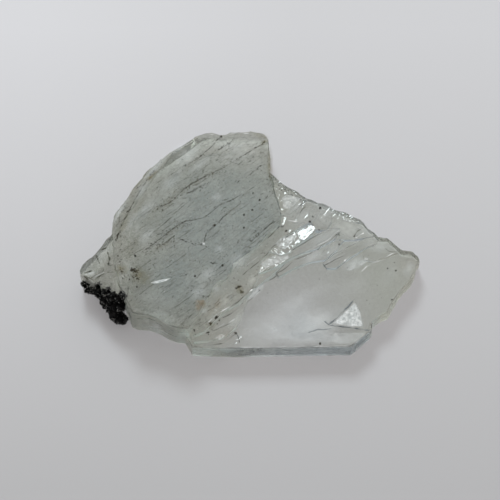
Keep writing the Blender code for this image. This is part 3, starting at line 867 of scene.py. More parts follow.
def grains(name, centres, radii, seed, around, up, wobble=0.3, shape=(1.0, 1.0, 1.0)):
    """Grains at the centres: balls whose points are moved in or out at random by wobble, stretched to the
    shape and by a little at random, and turned at random."""
    rng = np.random.default_rng(seed)
    unit = ball_points(*ball_angles(around, up))
    moved = np.random.default_rng(seed + 1).uniform(-wobble, wobble, (len(centres), len(unit), 1))
    points = unit * (1.0 + moved)
    points *= radii[:, None, None] * rng.uniform(0.6, 1.3, (len(centres), 1, 3)) * shape
    turn = np.linalg.qr(rng.normal(size=(len(centres), 3, 3)))[0]
    turn *= np.sign(np.linalg.det(turn))[:, None, None]
    points = np.einsum("nij,nkj->nki", turn, points) + centres[:, None, :]
    return object_of(name, points.reshape(-1, 3), ball_faces(len(centres), around, up))


def on_face(places, face, sink):
    """Points at the places, sunk under the face by the given depths."""
    x, y = np.array(places, float).T
    return np.stack([x, y, face(x, y) - sink], axis=-1)


def strewn(corners, count, seed):
    """Random places inside the outline."""
    x, y = in_box(np.random.default_rng(seed), corners, 4 * count)
    return np.stack([x, y], axis=-1)[inside(x, y, corners)][:count]


def along_lines(lines, seed, per_length, spread):
    """Random places along the lines, per_length of them per millimetre, within spread of the line."""
    rng = np.random.default_rng(seed)
    places = []
    for line in lines:
        points = np.array(line, float)
        length = walked(points)[-1]
        place = on_line(points, rng.uniform(0.0, length, int(length * per_length) + 1))
        places.append(place + rng.normal(0.0, spread, place.shape))
    return np.concatenate(places)


# Clots of dark grains: a place, how far they spread and how many there are.
SLAB_CLOTS = [
    ((-15.4, -5.35), 0.13, 16), ((-14.9, -5.5), 0.12, 7), ((-14.8, -6.6), 0.1, 6),
    ((-15.3, -5.8), 0.4, 14), ((-17.2, -5.3), 0.3, 10), ((1.9, 12.8), 0.15, 3), ((-13.3, 8.2), 0.2, 4),
    ((-17.7, -0.6), 0.2, 6), ((-16.0, 2.9), 0.15, 4),
]
TERRACE_CLOTS = [((-5.2, -12.25), 0.1, 9), ((-5.5, -13.2), 0.08, 7), ((-4.4, -11.4), 0.14, 6),
                 ((-1.5, -7.2), 0.14, 7), ((-1.1, -7.8), 0.12, 6), ((-1.8, -13.0), 0.08, 6)]


def clotted(clots, seed):
    """Random places around each clot's middle, scattered normally."""
    rng = np.random.default_rng(seed)
    return np.concatenate([np.array(at) + rng.normal(0.0, spread, (count, 2)) for at, spread, count in clots])


def on_slab(places):
    """The places that lie on the slab's face, clear of its broken rim."""
    return places[inside(*(places * 1.03).T, SLAB_OUTLINE)]


rng = np.random.default_rng(400)
slab_clots = on_slab(clotted(SLAB_CLOTS, 406))
terrace_clots = clotted(TERRACE_CLOTS, 407)
slab_dust = on_slab(strewn(SLAB_OUTLINE, 650, 401))
line_dust = on_slab(along_lines(SLAB_CRACKS, 404, per_length=5.5, spread=0.08))
band_dust = along_lines(DUSTY_BANDS, 408, per_length=16.0, spread=0.28)
rim_dust = on_slab(along_lines([SLAB_OUTLINE[-LEFT_RIM:]], 405, per_length=9.0, spread=0.7))
plate_dust = strewn(PLATE_OUTLINE, 160, 402)
terrace_dust = strewn(UPPER_TERRACE_OUTLINE, 90, 403)
# The large specks, the clots, the dust along lines and the fine dust, with their least and most radius.
speck_groups = [
    ((0.09, 0.17), [on_face(SLAB_SPECKS, slab_face, 0.05), on_face(TERRACE_SPECKS, crystal_top, 0.04),
                    on_face(PLATE_SPECKS, plate_face, 0.05)]),
    ((0.06, 0.16), [on_face(slab_clots, slab_face, 0.04), on_face(terrace_clots, crystal_top, 0.04)]),
    ((0.03, 0.09), [on_face(line_dust, slab_face, 0.02), on_face(rim_dust, slab_face, 0.02)]),
    ((0.025, 0.075), [on_face(band_dust, slab_face, 0.02),
                      on_face(slab_dust, slab_face, 0.02 + 0.5 * rng.random(len(slab_dust)) ** 2),
                      on_face(plate_dust, plate_face, 0.02 + 0.5 * rng.random(len(plate_dust)) ** 2),
                      on_face(terrace_dust, upper_terrace_face, 0.02)]),
]
speck_places = np.concatenate([places for _, group in speck_groups for places in group])
speck_sizes = np.concatenate([rng.uniform(*radii, sum(len(places) for places in group))
                              for radii, group in speck_groups])
specks = grains("dark_specks", speck_places, speck_sizes, 410, around=5, up=2)
finish(specks, dull_mottled_material("speck_dirt", (0.005, 0.004, 0.002), (0.055, 0.048, 0.032)))
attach(specks, "root")


# ---------------------------------------------------------------------------------------------------
# Milky veils, frosted cracks and rust halos. Clouds of tiny bubbles and healed cracks lie flat inside the
# crystal as thin pale sheets that fade out at their edges; iron has bled in around some specks. The pale
# sheets are in part painted light, which lightens places that the crystal's shadow darkens; the frosts
# carry painted glints, and some dark veils are painted shade.
# A veil is a centre, its half length and half width, its turn in degrees, its depth under the face, which
# is below zero just above it, and how strong it is.
SLAB_VEILS = [
    ((-1.5, 11.4), (3.9, 2.0), 10.0, 0.7, 1.0), ((-8.6, 10.2), (3.0, 1.0), 42.0, 0.8, 1.0),
    ((-14.9, 1.5), (3.2, 1.2), 62.0, 0.9, 1.0), ((-16.2, -4.6), (1.2, 2.4), 0.0, 0.8, 1.0),
    ((-12.0, -11.4), (3.0, 1.2), -14.0, 2.6, 1.0), ((-12.0, -11.6), (3.2, 1.3), -14.0, 4.0, 1.0),
    ((-13.0, -10.6), (3.6, 1.8), -20.0, 5.0, 1.0), ((-17.0, -7.0), (1.4, 3.0), 20.0, 3.5, 1.0),
]
# Haze on the faces, as veils.
SLAB_HAZE = [
    ((-4.5, 4.9), (1.0, 0.8), 20.0, -0.07, 0.36), ((-4.4, -8.0), (0.7, 0.6), 0.0, -0.07, 0.36),
    ((-4.1, -2.4), (0.9, 0.7), 30.0, -0.07, 0.36), ((-1.5, -3.9), (1.6, 0.9), 45.0, -0.07, 0.36),
    ((-6.0, -11.1), (0.6, 0.5), 0.0, -0.07, 0.36), ((-2.0, 12.2), (3.0, 0.9), 5.0, -0.07, 0.22),
    ((-8.4, 11.0), (2.6, 0.9), 42.0, -0.07, 0.36), ((-5.6, -6.0), (1.6, 0.8), 40.0, -0.07, 0.36),
    ((-16.0, 1.0), (2.6, 0.7), 60.0, -0.07, 0.36), ((-13.8, 3.2), (2.2, 0.9), 50.0, -0.07, 0.36),
    ((-13.6, -0.6), (2.0, 0.9), 45.0, -0.07, 0.36), ((-10.6, 7.0), (2.8, 0.9), 45.0, -0.07, 0.36),
    ((-14.2, 6.2), (2.2, 0.8), 55.0, -0.07, 0.36), ((-6.5, 9.6), (2.4, 0.7), 40.0, -0.07, 0.36),
    ((-17.3, 3.4), (2.8, 0.6), 62.0, -0.07, 0.6), ((-12.6, 9.4), (3.2, 0.6), 45.0, -0.07, 0.6),
    ((-9.4, 11.9), (2.4, 0.5), 38.0, -0.07, 0.5), ((-12.6, -9.4), (3.6, 1.6), -15.0, -0.07, 0.12),
    ((-6.6, -8.4), (1.6, 1.0), 30.0, -0.07, 0.36),
]
PLATE_HAZE = [
    ((8.4, -11.9), (3.4, 2.0), 0.0, -0.09, 0.4), ((6.0, -13.2), (4.6, 1.2), 0.0, -0.09, 0.3),
    ((3.4, -12.4), (6.6, 2.5), 4.0, -0.08, 0.42), ((8.6, -11.6), (5.0, 2.8), 15.0, -0.08, 0.42),
    ((5.6, -9.8), (4.0, 2.2), 35.0, -0.08, 0.42), ((8.0, -13.9), (6.0, 0.9), 0.0, -0.08, 0.42),
    ((21.2, -4.0), (0.9, 1.5), -30.0, -0.08, 0.42),
    ((13.5, -6.5), (3.5, 1.6), 35.0, -0.08, 0.12), ((18.5, -5.0), (2.5, 1.5), 40.0, -0.08, 0.1),
    ((9.5, -7.0), (3.0, 1.2), 30.0, -0.08, 0.12),
]
BLADE_HAZE = [
    ((5.8, 3.9), (2.4, 0.7), 42.0, -0.07, 0.4), ((8.8, -0.4), (2.4, 0.5), 35.0, -0.06, 0.25),
    ((10.2, 0.4), (2.6, 0.9), 35.0, -0.06, 0.25), ((11.2, -1.9), (2.8, 0.9), 33.0, -0.06, 0.4),
    ((15.6, 0.9), (2.0, 0.6), -38.0, -0.06, 0.25), ((17.2, -0.9), (2.6, 1.1), -15.0, -0.06, 0.4),
    ((10.9, 3.9), (2.2, 0.5), -25.0, -0.06, 0.25),
]
LOBE_HAZE = [((-19.9, -2.6), (2.2, 1.2), 45.0, -0.08, 0.17), ((-21.6, -4.4), (1.2, 1.0), 40.0, -0.08, 0.18)]
UPPER_TERRACE_VEILS = [
    ((-1.2, -4.0), (1.9, 0.8), 48.0, 0.3, 1.0), ((0.2, -6.2), (1.5, 0.7), 50.0, 0.3, 1.0),
    ((-3.2, -9.0), (2.4, 0.9), 50.0, 0.4, 1.0), ((-5.0, -11.6), (2.0, 0.8), 50.0, 0.4, 1.0),
]
LOWER_TERRACE_VEILS = [((-1.9, -11.4), (2.2, 0.7), 50.0, 0.3, 1.0), ((0.6, -7.6), (2.0, 0.6), 45.0, 0.3, 1.0)]
BLADE_VEILS = [((6.8, 3.0), (3.2, 2.0), 45.0, 0.9, 1.0), ((9.9, 3.4), (2.2, 1.6), 60.0, 0.8, 1.0),
               ((13.4, 1.4), (4.2, 1.9), -30.0, 0.5, 1.0), ((9.6, -1.2), (3.6, 1.5), 40.0, 0.6, 1.0),
               ((13.9, -3.4), (2.2, 1.0), 30.0, 0.8, 0.5)]
# A frosted crack is an outline. It ends sharply, and it glitters like crushed ice: a painted glitter. The
# frosts on the splinters are painted glints, and the first in the plate a painted reflection off an inner
# cleavage.
SLAB_FROST = [
    [(-13.2, -7.2), (-12.4, -7.3), (-10.9, -6.9), (-10.2, -6.5), (-12.1, -6.8)],
    [(-6.3, -1.5), (-6.3, -1.8), (-6.0, -1.9), (-5.9, -1.6)],
]
LOBE_FROST = [
    [(-21.8, -5.3), (-21.2, -5.7), (-19.8, -4.9), (-20.9, -4.8)],
    [(-21.3, -5.1), (-20.8, -6.0), (-20.2, -5.8), (-20.6, -4.9)],
]
PLATE_FROST = [
    [(10.9, -11.7), (13.0, -12.2), (15.0, -12.2), (14.6, -10.0), (13.9, -8.7)],
    [(10.9, -12.9), (10.3, -14.0), (11.4, -14.6), (14.2, -14.5), (15.4, -13.0)],
]
BLADE_FROST = [
    [(14.3, -3.6), (14.9, -3.7), (15.9, -2.8), (15.6, -2.5), (14.6, -3.0)],
    [(12.9, -4.2), (13.4, -4.4), (14.2, -3.8), (13.8, -3.6)],
    [(4.2, 5.7), (4.4, 4.0), (5.3, 3.9), (6.3, 4.8), (6.9, 5.6), (4.9, 6.3)],
    [(3.2, -1.3), (4.5, -2.1), (5.3, -1.4), (6.1, -0.3), (6.4, 0.5), (5.6, 0.3), (4.0, -0.4)],
    [(1.3, -3.6), (1.3, -4.3), (2.0, -4.7), (3.7, -3.9), (5.4, -3.1), (5.2, -2.5), (2.9, -2.7)],
]
TERRACE_FROST = [
    [(-4.8, -13.9), (-3.9, -14.2), (-3.2, -13.5), (-3.8, -13.3)],
    [(1.4, -3.5), (1.5, -4.2), (2.0, -3.9), (2.2, -3.2)],
]
# Rust halos and stains, as veils; the shades along dirty cracks and over the splinters are veils of painted
# shade.
TERRACE_EARTH = [
    ((-3.0, -13.4), (3.4, 1.2), 15.0, -0.10, 0.22), ((-4.4, -9.8), (2.8, 1.0), 50.0, -0.10, 0.22),
]
SLAB_STAINS = [
    ((-14.2, -6.3), (1.7, 1.5), -30.0, -0.08, 0.8), ((-14.8, -5.8), (1.0, 0.9), -30.0, -0.11, 1.0),
    ((-13.1, 8.1), (1.2, 0.5), 50.0, -0.08, 1.0), ((1.9, 12.7), (0.9, 0.5), 40.0, -0.08, 1.0),
    ((-16.6, 0.6), (0.8, 2.6), -15.0, -0.08, 0.35), ((-16.9, -5.4), (1.0, 0.9), 0.0, -0.08, 1.0),
    ((2.7, 9.5), (0.5, 3.0), 0.0, -0.08, 1.0), ((1.6, 14.1), (1.6, 0.8), -30.0, -0.08, 0.5),
]
SLAB_SHADES = [
    ((-9.4, 5.5), (4.4, 0.6), 38.0, -0.08, 0.34), ((-5.2, 8.1), (3.0, 0.5), 36.0, -0.08, 0.26),
    ((-11.4, 3.4), (2.0, 0.6), 30.0, -0.08, 0.3), ((-11.4, -1.9), (3.0, 0.5), 28.0, -0.08, 0.3),
    ((-10.0, 0.2), (3.2, 0.5), 40.0, -0.08, 0.28), ((-2.2, 3.2), (1.9, 0.5), 40.0, -0.08, 0.26),
    ((-0.6, 5.3), (1.6, 0.5), 35.0, -0.08, 0.22), ((-14.8, 3.6), (4.4, 0.5), 58.0, -0.08, 0.3),
    ((2.9, 0.6), (2.6, 0.8), 48.0, -0.08, 0.22), ((-15.6, -2.4), (2.2, 0.8), 70.0, -0.08, 0.25),
]
BLADE_SHADES = [
    ((8.6, -2.3), (3.2, 0.6), 32.0, -0.08, 0.18), ((16.8, -0.2), (1.4, 0.6), -40.0, -0.08, 0.15),
    ((7.6, 4.5), (1.3, 0.6), -30.0, -0.08, 0.15), ((13.4, 2.4), (2.2, 0.5), -25.0, -0.08, 0.12),
]
UPPER_TERRACE_STAINS = [
    ((-1.4, -7.6), (0.8, 0.9), 0.0, -0.08, 1.0), ((-5.1, -12.5), (0.8, 0.7), 40.0, -0.08, 1.0),
]
OCHRE_STAINS = [((-6.5, -10.3), (0.8, 0.9), 20.0, -0.08, 1.0), ((-6.3, -9.9), (0.5, 0.5), 0.0, -0.10, 1.0)]


# The points around a sheet's outline, and the rings of points from its middle to its outline.
SPOKES = 36
RINGS = 14


def oval(centre, half, turn, seed):
    """A ragged oval outline: the centre plus half length and half width along the turned axes, times a
    smooth noise."""
    t = 2.0 * np.pi * np.arange(SPOKES) / SPOKES
    edge = 1.0 + 0.25 * noise(3.0 + 2.0 * np.cos(t), 3.0 + 2.0 * np.sin(t), seed)
    c, s = math.cos(math.radians(turn)), math.sin(math.radians(turn))
    u, v = half[0] * edge * np.cos(t), half[1] * edge * np.sin(t)
    return np.stack([centre[0] + u * c - v * s, centre[1] + u * s + v * c], axis=-1)


def even_outline(corners):
    """Points evenly spaced along a closed outline."""
    ring = np.array(corners + corners[:1], float)
    return on_line(ring, walked(ring)[-1] * np.arange(SPOKES) / SPOKES)


def sheets(outlines, face, depths, fade, seed):
    """Sheets as arrays of (sheet, ring, spoke, xyz) and of each point's strength. Rings of points shrink
    from the outline to its middle, at a depth under the face with a low swell. The strength falls from 1
    to 0 over the outer share of the way that fade gives."""
    points, strengths = [], []
    share = np.linspace(0.02, 1.0, RINGS)[:, None, None]
    for number, (outline, depth) in enumerate(zip(outlines, depths)):
        middle = outline.mean(axis=0)
        xy = middle + (outline - middle)[None] * share
        x, y = xy[..., 0], xy[..., 1]
        z = face(x, y) - depth - 0.05 * noise(x / 1.1, y / 1.1, seed + 50 + number)
        points.append(np.stack([x, y, z], axis=-1))
        mottle = 0.8 + 0.2 * noise(x / 0.5, y / 0.5, seed + 90 + number)
        strengths.append(np.clip((1.0 - share[..., 0]) / fade, 0.0, 1.0) * mottle)
    return np.array(points), np.array(strengths)


def soft_sheets(veils, face, seed):
    """Sheets for veils, which fade all the way from their middle."""
    outlines = [oval(centre, half, turn, seed + i) for i, (centre, half, turn, _, _) in enumerate(veils)]
    points, strengths = sheets(outlines, face, [veil[3] for veil in veils], 1.0, seed)
    return points, strengths * np.array([veil[4] for veil in veils])[:, None, None]


def sharp_sheets(outlines, face, seed, depth, strength=1.0):
    """Sheets for frosted cracks and painted glints, which fade only at their rim."""
    points, strengths = sheets([even_outline(outline) for outline in outlines], face, [depth] * len(outlines),
                               0.15, seed)
    return points, strength * strengths


def faded_object(name, points, faces, strengths, material):
    """A smooth mesh of points in millimetres, each with its strength in the attribute named strength."""
    obj = object_of(name, points.reshape(-1, 3) * MM, faces)
    strength = obj.data.attributes.new("strength", "FLOAT", "POINT")
    strength.data.foreach_set("value", np.clip(strengths, 0.0, 1.0).ravel())
    obj.data.shade_smooth()
    obj.data.materials.append(material)
    return obj


def sheet_object(name, parts, material):
    """The sheets as one mesh: rings of quads, and a hub inside each smallest ring."""
    points = np.concatenate([p for p, _ in parts])
    strengths = np.concatenate([s for _, s in parts])
    index = np.arange(strengths.size).reshape(strengths.shape)
    faces = quads_of(closed(index)).tolist() + index[:, 0].tolist()
    return faded_object(name, points, faces, strengths, material)


def sheet_material(name, dark, light, scale, detail, thin, cover):
    """A see-through sheet of a dull colour, mottled from dark to light. It covers as much as the strength
    attribute says, times a share that runs from thin in the mottle's dark parts to cover in its light."""
    made, tree, shader, place = new_material(name)
    mottle = link_range(tree, link_noise(tree, place, scale, detail, 0.65), 0.36, 0.64)
    tree.links.new(link_mix(tree, mottle, dark, light), shader.inputs["Base Color"])
    shader.inputs["Roughness"].default_value = 0.7
    strength = tree.nodes.new("ShaderNodeAttribute")
    strength.attribute_name = "strength"
    share = link_range(tree, mottle, 0.0, 1.0, thin, cover)
    tree.links.new(link_maths(tree, "MULTIPLY", strength.outputs["Fac"], share), shader.inputs["Alpha"])
    return made


def blade_height(x, y):
    """The splinters' rough mean height, which falls from the slab to the plate's far end."""
    return 4.6 - 0.07 * (x - 6.0) - 0.12 * (y + 1.0 - 0.15 * (x - 6.0))


# Pale veils: real milkiness in part, and in part painted light where the crystal's shadow darkens.
milky_and_light = sheet_material("milky_veil_and_light", (0.82, 0.88, 0.91), (0.95, 0.99, 1.0),
                       scale=260.0, detail=2.0, thin=0.60, cover=0.70)
frost_and_glint = sheet_material("frosted_crack_and_glint", (0.58, 0.63, 0.64), (0.98, 1.0, 1.0),
                         scale=2800.0, detail=5.0, thin=0.60, cover=1.0)
rust_and_shade = sheet_material("rust_halo_and_shade", (0.06, 0.05, 0.02), (0.22, 0.19, 0.09),
                       scale=1500.0, detail=6.0, thin=0.40, cover=0.80)
ochre = sheet_material("ochre_stain", (0.15, 0.10, 0.045), (0.40, 0.27, 0.14),
                       scale=1500.0, detail=6.0, thin=0.5, cover=1.0)
veils = sheet_object("milky_veils_and_light", [
    soft_sheets(SLAB_HAZE, slab_face, 610), soft_sheets(PLATE_HAZE, plate_face, 630),
    soft_sheets(BLADE_HAZE, crystal_top, 635), soft_sheets(LOBE_HAZE, lobe_face, 655),
    soft_sheets(SLAB_VEILS, slab_face, 600),
    soft_sheets(UPPER_TERRACE_VEILS, upper_terrace_face, 660),
    soft_sheets(LOWER_TERRACE_VEILS, lower_terrace_face, 670), soft_sheets(BLADE_VEILS, blade_height, 675),
], milky_and_light)
frost_and_glints = sheet_object("frosted_cracks_and_glints", [
    sharp_sheets(SLAB_FROST, slab_face, 800, -0.06), sharp_sheets(LOBE_FROST, lobe_face, 810, -0.09, 0.16),
    sharp_sheets(PLATE_FROST[:1], plate_face, 820, -0.07, 0.92),
    sharp_sheets(PLATE_FROST[1:], plate_face, 821, -0.07, 0.3),
    sharp_sheets(BLADE_FROST, crystal_top, 830, -0.07, 0.5),
    sharp_sheets(TERRACE_FROST, lower_terrace_face, 840, -0.06, 0.6),
], frost_and_glint)
# Rust stains together with veils of painted shade.
stains = sheet_object("rust_halos_and_shades", [
    soft_sheets(SLAB_STAINS, slab_face, 680), soft_sheets(SLAB_SHADES, slab_face, 700),
    soft_sheets(BLADE_SHADES, crystal_top, 715), soft_sheets(UPPER_TERRACE_STAINS, upper_terrace_face, 720),
], rust_and_shade)
ochre_stains = sheet_object("ochre_stains", [
    soft_sheets(OCHRE_STAINS, slab_face, 740), soft_sheets(TERRACE_EARTH, crystal_top, 745),
], ochre)
for sheet in (veils, frost_and_glints):
    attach(sheet, "root")
for sheet in (stains, ochre_stains):
    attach(sheet, "root")

# Fine cracks cloud the crystal just behind its walls, as upright curtains. The dark curtains behind the front
# walls of the slab, its corner, the plate and the lobe are painted shade on walls that face away from the
# light. Each is a line, its height from and to, how much it hides, whether it shades the sheet below, and
# its dark and its light colour.
WALL_CLOUDS_AND_SHADES = {
    # Painted shade: a dark curtain behind the slab's front wall.
    "slab_wall_shade_cloud": (
        [(-17.4, -6.4), (-16.1, -9.2), (-15.2, -11.0), (-13.3, -11.4), (-12.0, -11.9), (-10.7, -12.7),
         (-9.6, -13.0), (-8.0, -13.2)],
        0.6, 6.1, 0.75, True, (0.20, 0.205, 0.185), (0.40, 0.41, 0.37)),
    # Painted shade: a dark curtain behind the front corner.
    "corner_shade_cloud": (
        [(-9.1, -12.2), (-8.5, -13.4), (-7.6, -14.7), (-6.0, -14.9), (-3.0, -15.0)],
        0.3, 3.1, 0.65, True, (0.35, 0.355, 0.33), (0.58, 0.59, 0.55)),
    # Painted shade: a dark curtain behind the plate's front wall.
    "plate_wall_shade": (
        [(-5.0, -15.0), (-2.0, -15.0), (4.0, -14.9), (8.0, -14.8), (13.2, -14.7), (15.6, -12.8),
         (15.9, -12.0), (16.2, -11.0)],
        0.3, 3.1, 0.65, False, (0.085, 0.11, 0.13), (0.19, 0.235, 0.265)),
    "end_wall_cloud": (
        [(15.4, -12.9), (15.8, -11.6), (17.0, -10.6), (18.1, -9.9), (18.6, -8.8), (19.6, -7.3),
         (21.2, -5.5), (21.8, -4.2), (21.9, -3.4)],
        0.3, 3.0, 0.5, False, (0.40, 0.37, 0.31), (0.60, 0.57, 0.49)),
    "lobe_wall_cloud": (
        [(-22.2, -4.8), (-21.9, -4.0), (-21.6, -3.4), (-20.9, -2.7), (-20.1, -1.9), (-19.2, -0.5),
         (-18.4, 0.1)],
        1.2, 4.1, 0.5, False, (0.55, 0.57, 0.58), (0.82, 0.84, 0.85)),
    # Painted shade: a dark curtain behind the lobe's front wall.
    "lobe_front_shade_cloud": (
        [(-22.2, -5.1), (-20.8, -6.0), (-19.4, -6.7), (-18.2, -7.4), (-17.2, -8.2)],
        1.1, 3.8, 0.85, True, (0.10, 0.10, 0.09), (0.30, 0.30, 0.27)),
    "back_wall_cloud": (
        [(-17.9, 0.4), (-17.7, 2.3), (-16.4, 4.9), (-15.0, 6.9), (-13.3, 9.1), (-11.5, 10.4),
         (-9.7, 11.8), (-7.4, 13.4), (-6.0, 14.1)],
        2.0, 5.6, 0.5, False, (0.50, 0.52, 0.48), (0.80, 0.82, 0.78)),
}


def curtain(name, line, low, high, seed, material):
    """An upright sheet along the line that fades out at its ends and its top and sways by a smooth noise."""
    along, up = np.meshgrid(np.linspace(0.0, 1.0, 90), np.linspace(0.0, 1.0, 9), indexing="ij")
    points = np.array(line, float)
    here = along * walked(points)[-1]
    sway = 0.12 * noise(here / 1.2, up * 3.0, seed)
    places = on_line(points, here) + sway[..., None]
    grid = np.concatenate([places, (low + up * (high - low))[..., None]], axis=-1)
    fade = np.clip(np.minimum(along, 1.0 - along) * 8.0, 0.0, 1.0) * np.clip((1.0 - up) * 8.0, 0.0, 1.0)
    return faded_object(name, grid, quads_of(np.arange(up.size).reshape(up.shape)).tolist(), fade, material)


for i, (name, (line, low, high, cover, shades, dark, light)) in enumerate(WALL_CLOUDS_AND_SHADES.items()):
    clouded = sheet_material(name, dark, light, scale=900.0, detail=4.0, thin=0.6 * cover, cover=cover)
    cloud = curtain(name, line, low, high, 760 + i, clouded)
    cloud.visible_diffuse = shades
    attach(cloud, "root")

# White flecks: tiny bubbles and flakes, and in part painted sparkles, strewn in the faces of the slab, the
# terraces and the lobe.
fleck_places = np.concatenate([
    on_face(strewn(SLAB_OUTLINE, 550, 850), slab_face, 0.05),
    on_face(strewn(UPPER_TERRACE_OUTLINE, 240, 851), upper_terrace_face, 0.04),
    on_face(strewn(LOWER_TERRACE_OUTLINE, 160, 852), lower_terrace_face, 0.04),
    on_face(strewn(LOBE_OUTLINE, 90, 853), lobe_face, 0.04),
])
fleck_sizes = np.random.default_rng(854).uniform(0.02, 0.06, len(fleck_places))
flecks = grains("white_flecks", fleck_places, fleck_sizes, 855, around=5, up=2)
finish(flecks, dull_mottled_material("white_fleck", (0.6, 0.62, 0.6), (0.95, 0.96, 0.95)))
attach(flecks, "root")


# ---------------------------------------------------------------------------------------------------
# The black crust. Black mineral grew on the lobe's front edge in two patches, as heaps of sharp little
# crystals that sit fast on the barite. Each heap is a middle and a radius.
CRUST_HEAPS = {
    "black_crust_tip": [
        ((-22.1, -5.95, 2.6), 0.32), ((-21.75, -6.2, 2.3), 0.36), ((-21.35, -6.45, 2.0), 0.42),
        ((-20.95, -6.7, 1.9), 0.42), ((-20.6, -6.9, 1.8), 0.38), ((-20.3, -7.1, 1.8), 0.34),
    ],
    "black_crust_cluster": [
        ((-20.1, -6.6, 3.9), 0.28), ((-20.3, -7.0, 3.6), 0.36), ((-20.1, -7.3, 3.4), 0.42),
        ((-20.0, -7.7, 3.0), 0.45), ((-19.2, -7.5, 4.0), 0.38), ((-18.7, -7.4, 4.1), 0.32),
        ((-19.5, -8.2, 3.2), 0.6), ((-18.7, -8.4, 3.5), 0.7), ((-18.8, -8.9, 2.6), 0.6),
        ((-17.9, -8.7, 4.4), 0.75), ((-18.0, -8.0, 4.4), 0.3), ((-17.0, -9.0, 5.2), 0.65),
        ((-16.9, -8.4, 5.7), 0.45), ((-16.6, -8.9, 6.1), 0.4), ((-17.9, -9.4, 3.5), 0.95),
        ((-18.0, -10.05, 2.5), 0.82), ((-17.3, -10.3, 2.4), 0.8), ((-16.8, -10.7, 2.2), 0.6),
        ((-17.0, -9.6, 4.3), 0.75), ((-17.4, -10.9, 1.8), 0.5), ((-16.7, -11.0, 1.9), 0.42),
        ((-18.4, -9.6, 2.5), 0.55), ((-17.9, -10.5, 2.2), 0.5), ((-19.4, -8.5, 2.8), 0.45),
        ((-18.4, -9.0, 3.3), 0.65),
    ],
}
LUMPS_PER_HEAP = 8
GRAINS_PER_LUMP = 26
GLINTS_PER_LUMP = 9


def directions(rng, lumps, count):
    """Random directions, count for each lump."""
    way = rng.normal(size=(lumps, count, 3))
    return way / np.linalg.norm(way, axis=-1, keepdims=True)


def crust_material():
    """Black mineral: dark grains with shiny facets and a little grey dust between them."""
    made, tree, shader, place = new_material("black_crust")
    dust = link_range(tree, link_noise(tree, place, 1800.0, 5.0, 0.8), 0.60, 0.66)
    tree.links.new(link_mix(tree, dust, (0.0003, 0.0003, 0.0003), (0.05, 0.048, 0.045)),
                   shader.inputs["Base Color"])
    tree.links.new(link_range(tree, dust, 0.0, 1.0, 0.12, 0.5), shader.inputs["Roughness"])
    shader.inputs["Specular IOR Level"].default_value = 0.08
    return made


black = crust_material()
# Painted glints: pale grains stand for shining crystal edges.
glinting = dull_mottled_material("crust_glint", (0.03, 0.03, 0.028), (0.75, 0.75, 0.72))
for patch, (name, heaps) in enumerate(CRUST_HEAPS.items()):
    seed = 500 + 20 * patch
    rng = np.random.default_rng(seed)
    middles = np.array([middle for middle, _ in heaps])
    radii = np.array([radius for _, radius in heaps])
    # A heap is one large lump with smaller ones around it.
    apart = rng.normal(0.0, 0.32, (len(heaps), LUMPS_PER_HEAP, 3)) * radii[:, None, None]
    lumps = np.concatenate([middles, (middles[:, None] + apart).reshape(-1, 3)])
    share = rng.uniform(0.35, 0.65, len(heaps) * LUMPS_PER_HEAP)
    lump_radii = np.concatenate([0.75 * radii, np.repeat(radii, LUMPS_PER_HEAP) * share])
    core = grains(name + "_core", lumps, lump_radii, seed + 1, around=6, up=3)
    # Platy crystals stand out of the lumps at all angles.
    direction = directions(rng, len(lumps), GRAINS_PER_LUMP)
    shell = 0.8 + 0.3 * rng.random((len(lumps), GRAINS_PER_LUMP, 1))
    places = (lumps[:, None] + direction * lump_radii[:, None, None] * shell).reshape(-1, 3)
    sizes = 0.06 + 0.14 * rng.random(len(places)) ** 2
    crust = grains(name + "_grains", places, sizes, seed + 3, around=5, up=2, wobble=0.25,
                   shape=(2.0, 0.6, 0.3))
    # Painted glints: thin pale grains stand for crystal edges that catch the light all over the crust.
    direction = directions(rng, len(lumps), GLINTS_PER_LUMP)
    places = (lumps[:, None] + direction * (lump_radii[:, None, None] + 0.1)).reshape(-1, 3)
    sizes = 0.03 + 0.06 * rng.random(len(places)) ** 2
    glints = grains(name + "_glints", places, sizes, seed + 5, around=4, up=1, wobble=0.2,
                    shape=(2.2, 0.35, 0.3))
    for obj, material in ((crust, black), (core, black), (glints, glinting)):
        finish(obj, material)
        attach(obj, "root")
    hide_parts(name)


# ---------------------------------------------------------------------------------------------------
# The sheet that the specimen lies on, the light and the camera.
FLOOR_HALF = 1.5
# A hair's breadth under the crystal, so that the two faces are never in one plane.
FLOOR_TOP = -0.0002
floor = object_of("floor", [(x * FLOOR_HALF, y * FLOOR_HALF, FLOOR_TOP)
                            for x, y in ((-1, -1), (1, -1), (1, 1), (-1, 1))], [(0, 1, 2, 3)])


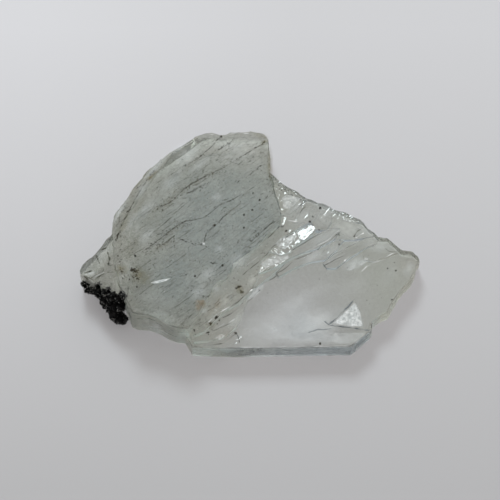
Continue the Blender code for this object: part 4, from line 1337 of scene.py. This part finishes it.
def paper_material():
    """Pale matt paper, with painted light: a little lighter towards the back and the left."""
    made, tree, shader, place = new_material("paper")
    x, y, _ = split_xyz(tree, place)
    # Painted light: the paper is lighter towards the back, where the light stands, and towards the left.
    back_light_share = link_range(tree, y, -0.033, 0.033)
    left_light_share = link_range(tree, x, -0.030, 0.006, 1.0, 0.0)
    back = link_mix(tree, left_light_share, (0.68, 0.675, 0.70), (0.735, 0.73, 0.76))
    tree.links.new(link_mix(tree, back_light_share, (0.53, 0.525, 0.54), back), shader.inputs["Base Color"])
    shader.inputs["Roughness"].default_value = 0.8
    return made


floor.data.materials.append(paper_material())

ROOM_COLOUR = (1.0, 0.985, 0.96)
ROOM_LIGHT = 0.68
world = bpy.data.worlds.new("room")
bpy.context.scene.world = world
world.use_nodes = True
world.node_tree.nodes["Background"].inputs["Color"].default_value = (*ROOM_COLOUR, 1.0)
world.node_tree.nodes["Background"].inputs["Strength"].default_value = ROOM_LIGHT


def softbox(name, place, target, size, power, colour):
    """A square area light that faces its target."""
    light = bpy.data.lights.new(name, "AREA")
    light.size = size
    light.energy = power
    light.color = colour
    obj = bpy.data.objects.new(name, light)
    obj.location = place
    obj.rotation_euler = (Vector(target) - Vector(place)).to_track_quat("-Z", "Y").to_euler()
    bpy.context.scene.collection.objects.link(obj)


def from_centre(azimuth, elevation, distance):
    """The point at a distance from the specimen, at an angle from +X and an angle above the floor."""
    azimuth, elevation = math.radians(azimuth), math.radians(elevation)
    flat = distance * math.cos(elevation)
    return flat * math.cos(azimuth), flat * math.sin(azimuth), distance * math.sin(elevation)


# The one soft light stands behind the specimen, a little to the left.
softbox("key", from_centre(102.0, 48.0, 0.5), (0, 0, 0), size=0.14, power=0.85, colour=(0.88, 0.97, 1.0))

LOOKING_DOWN = 70.0
CAMERA_DISTANCE = 0.2816
AIM = Vector((0.0, -0.0002, 0.0))
camera_data = bpy.data.cameras.new("camera")
camera_data.lens = 150.0
camera_data.sensor_width = 36.0
camera = bpy.data.objects.new("camera", camera_data)
camera.location = AIM + Vector(from_centre(-90.0, LOOKING_DOWN, CAMERA_DISTANCE))
camera.rotation_euler = (AIM - camera.location).to_track_quat("-Z", "Y").to_euler()
bpy.context.scene.collection.objects.link(camera)
bpy.context.scene.camera = camera
bpy.context.scene.view_settings.view_transform = "Standard"
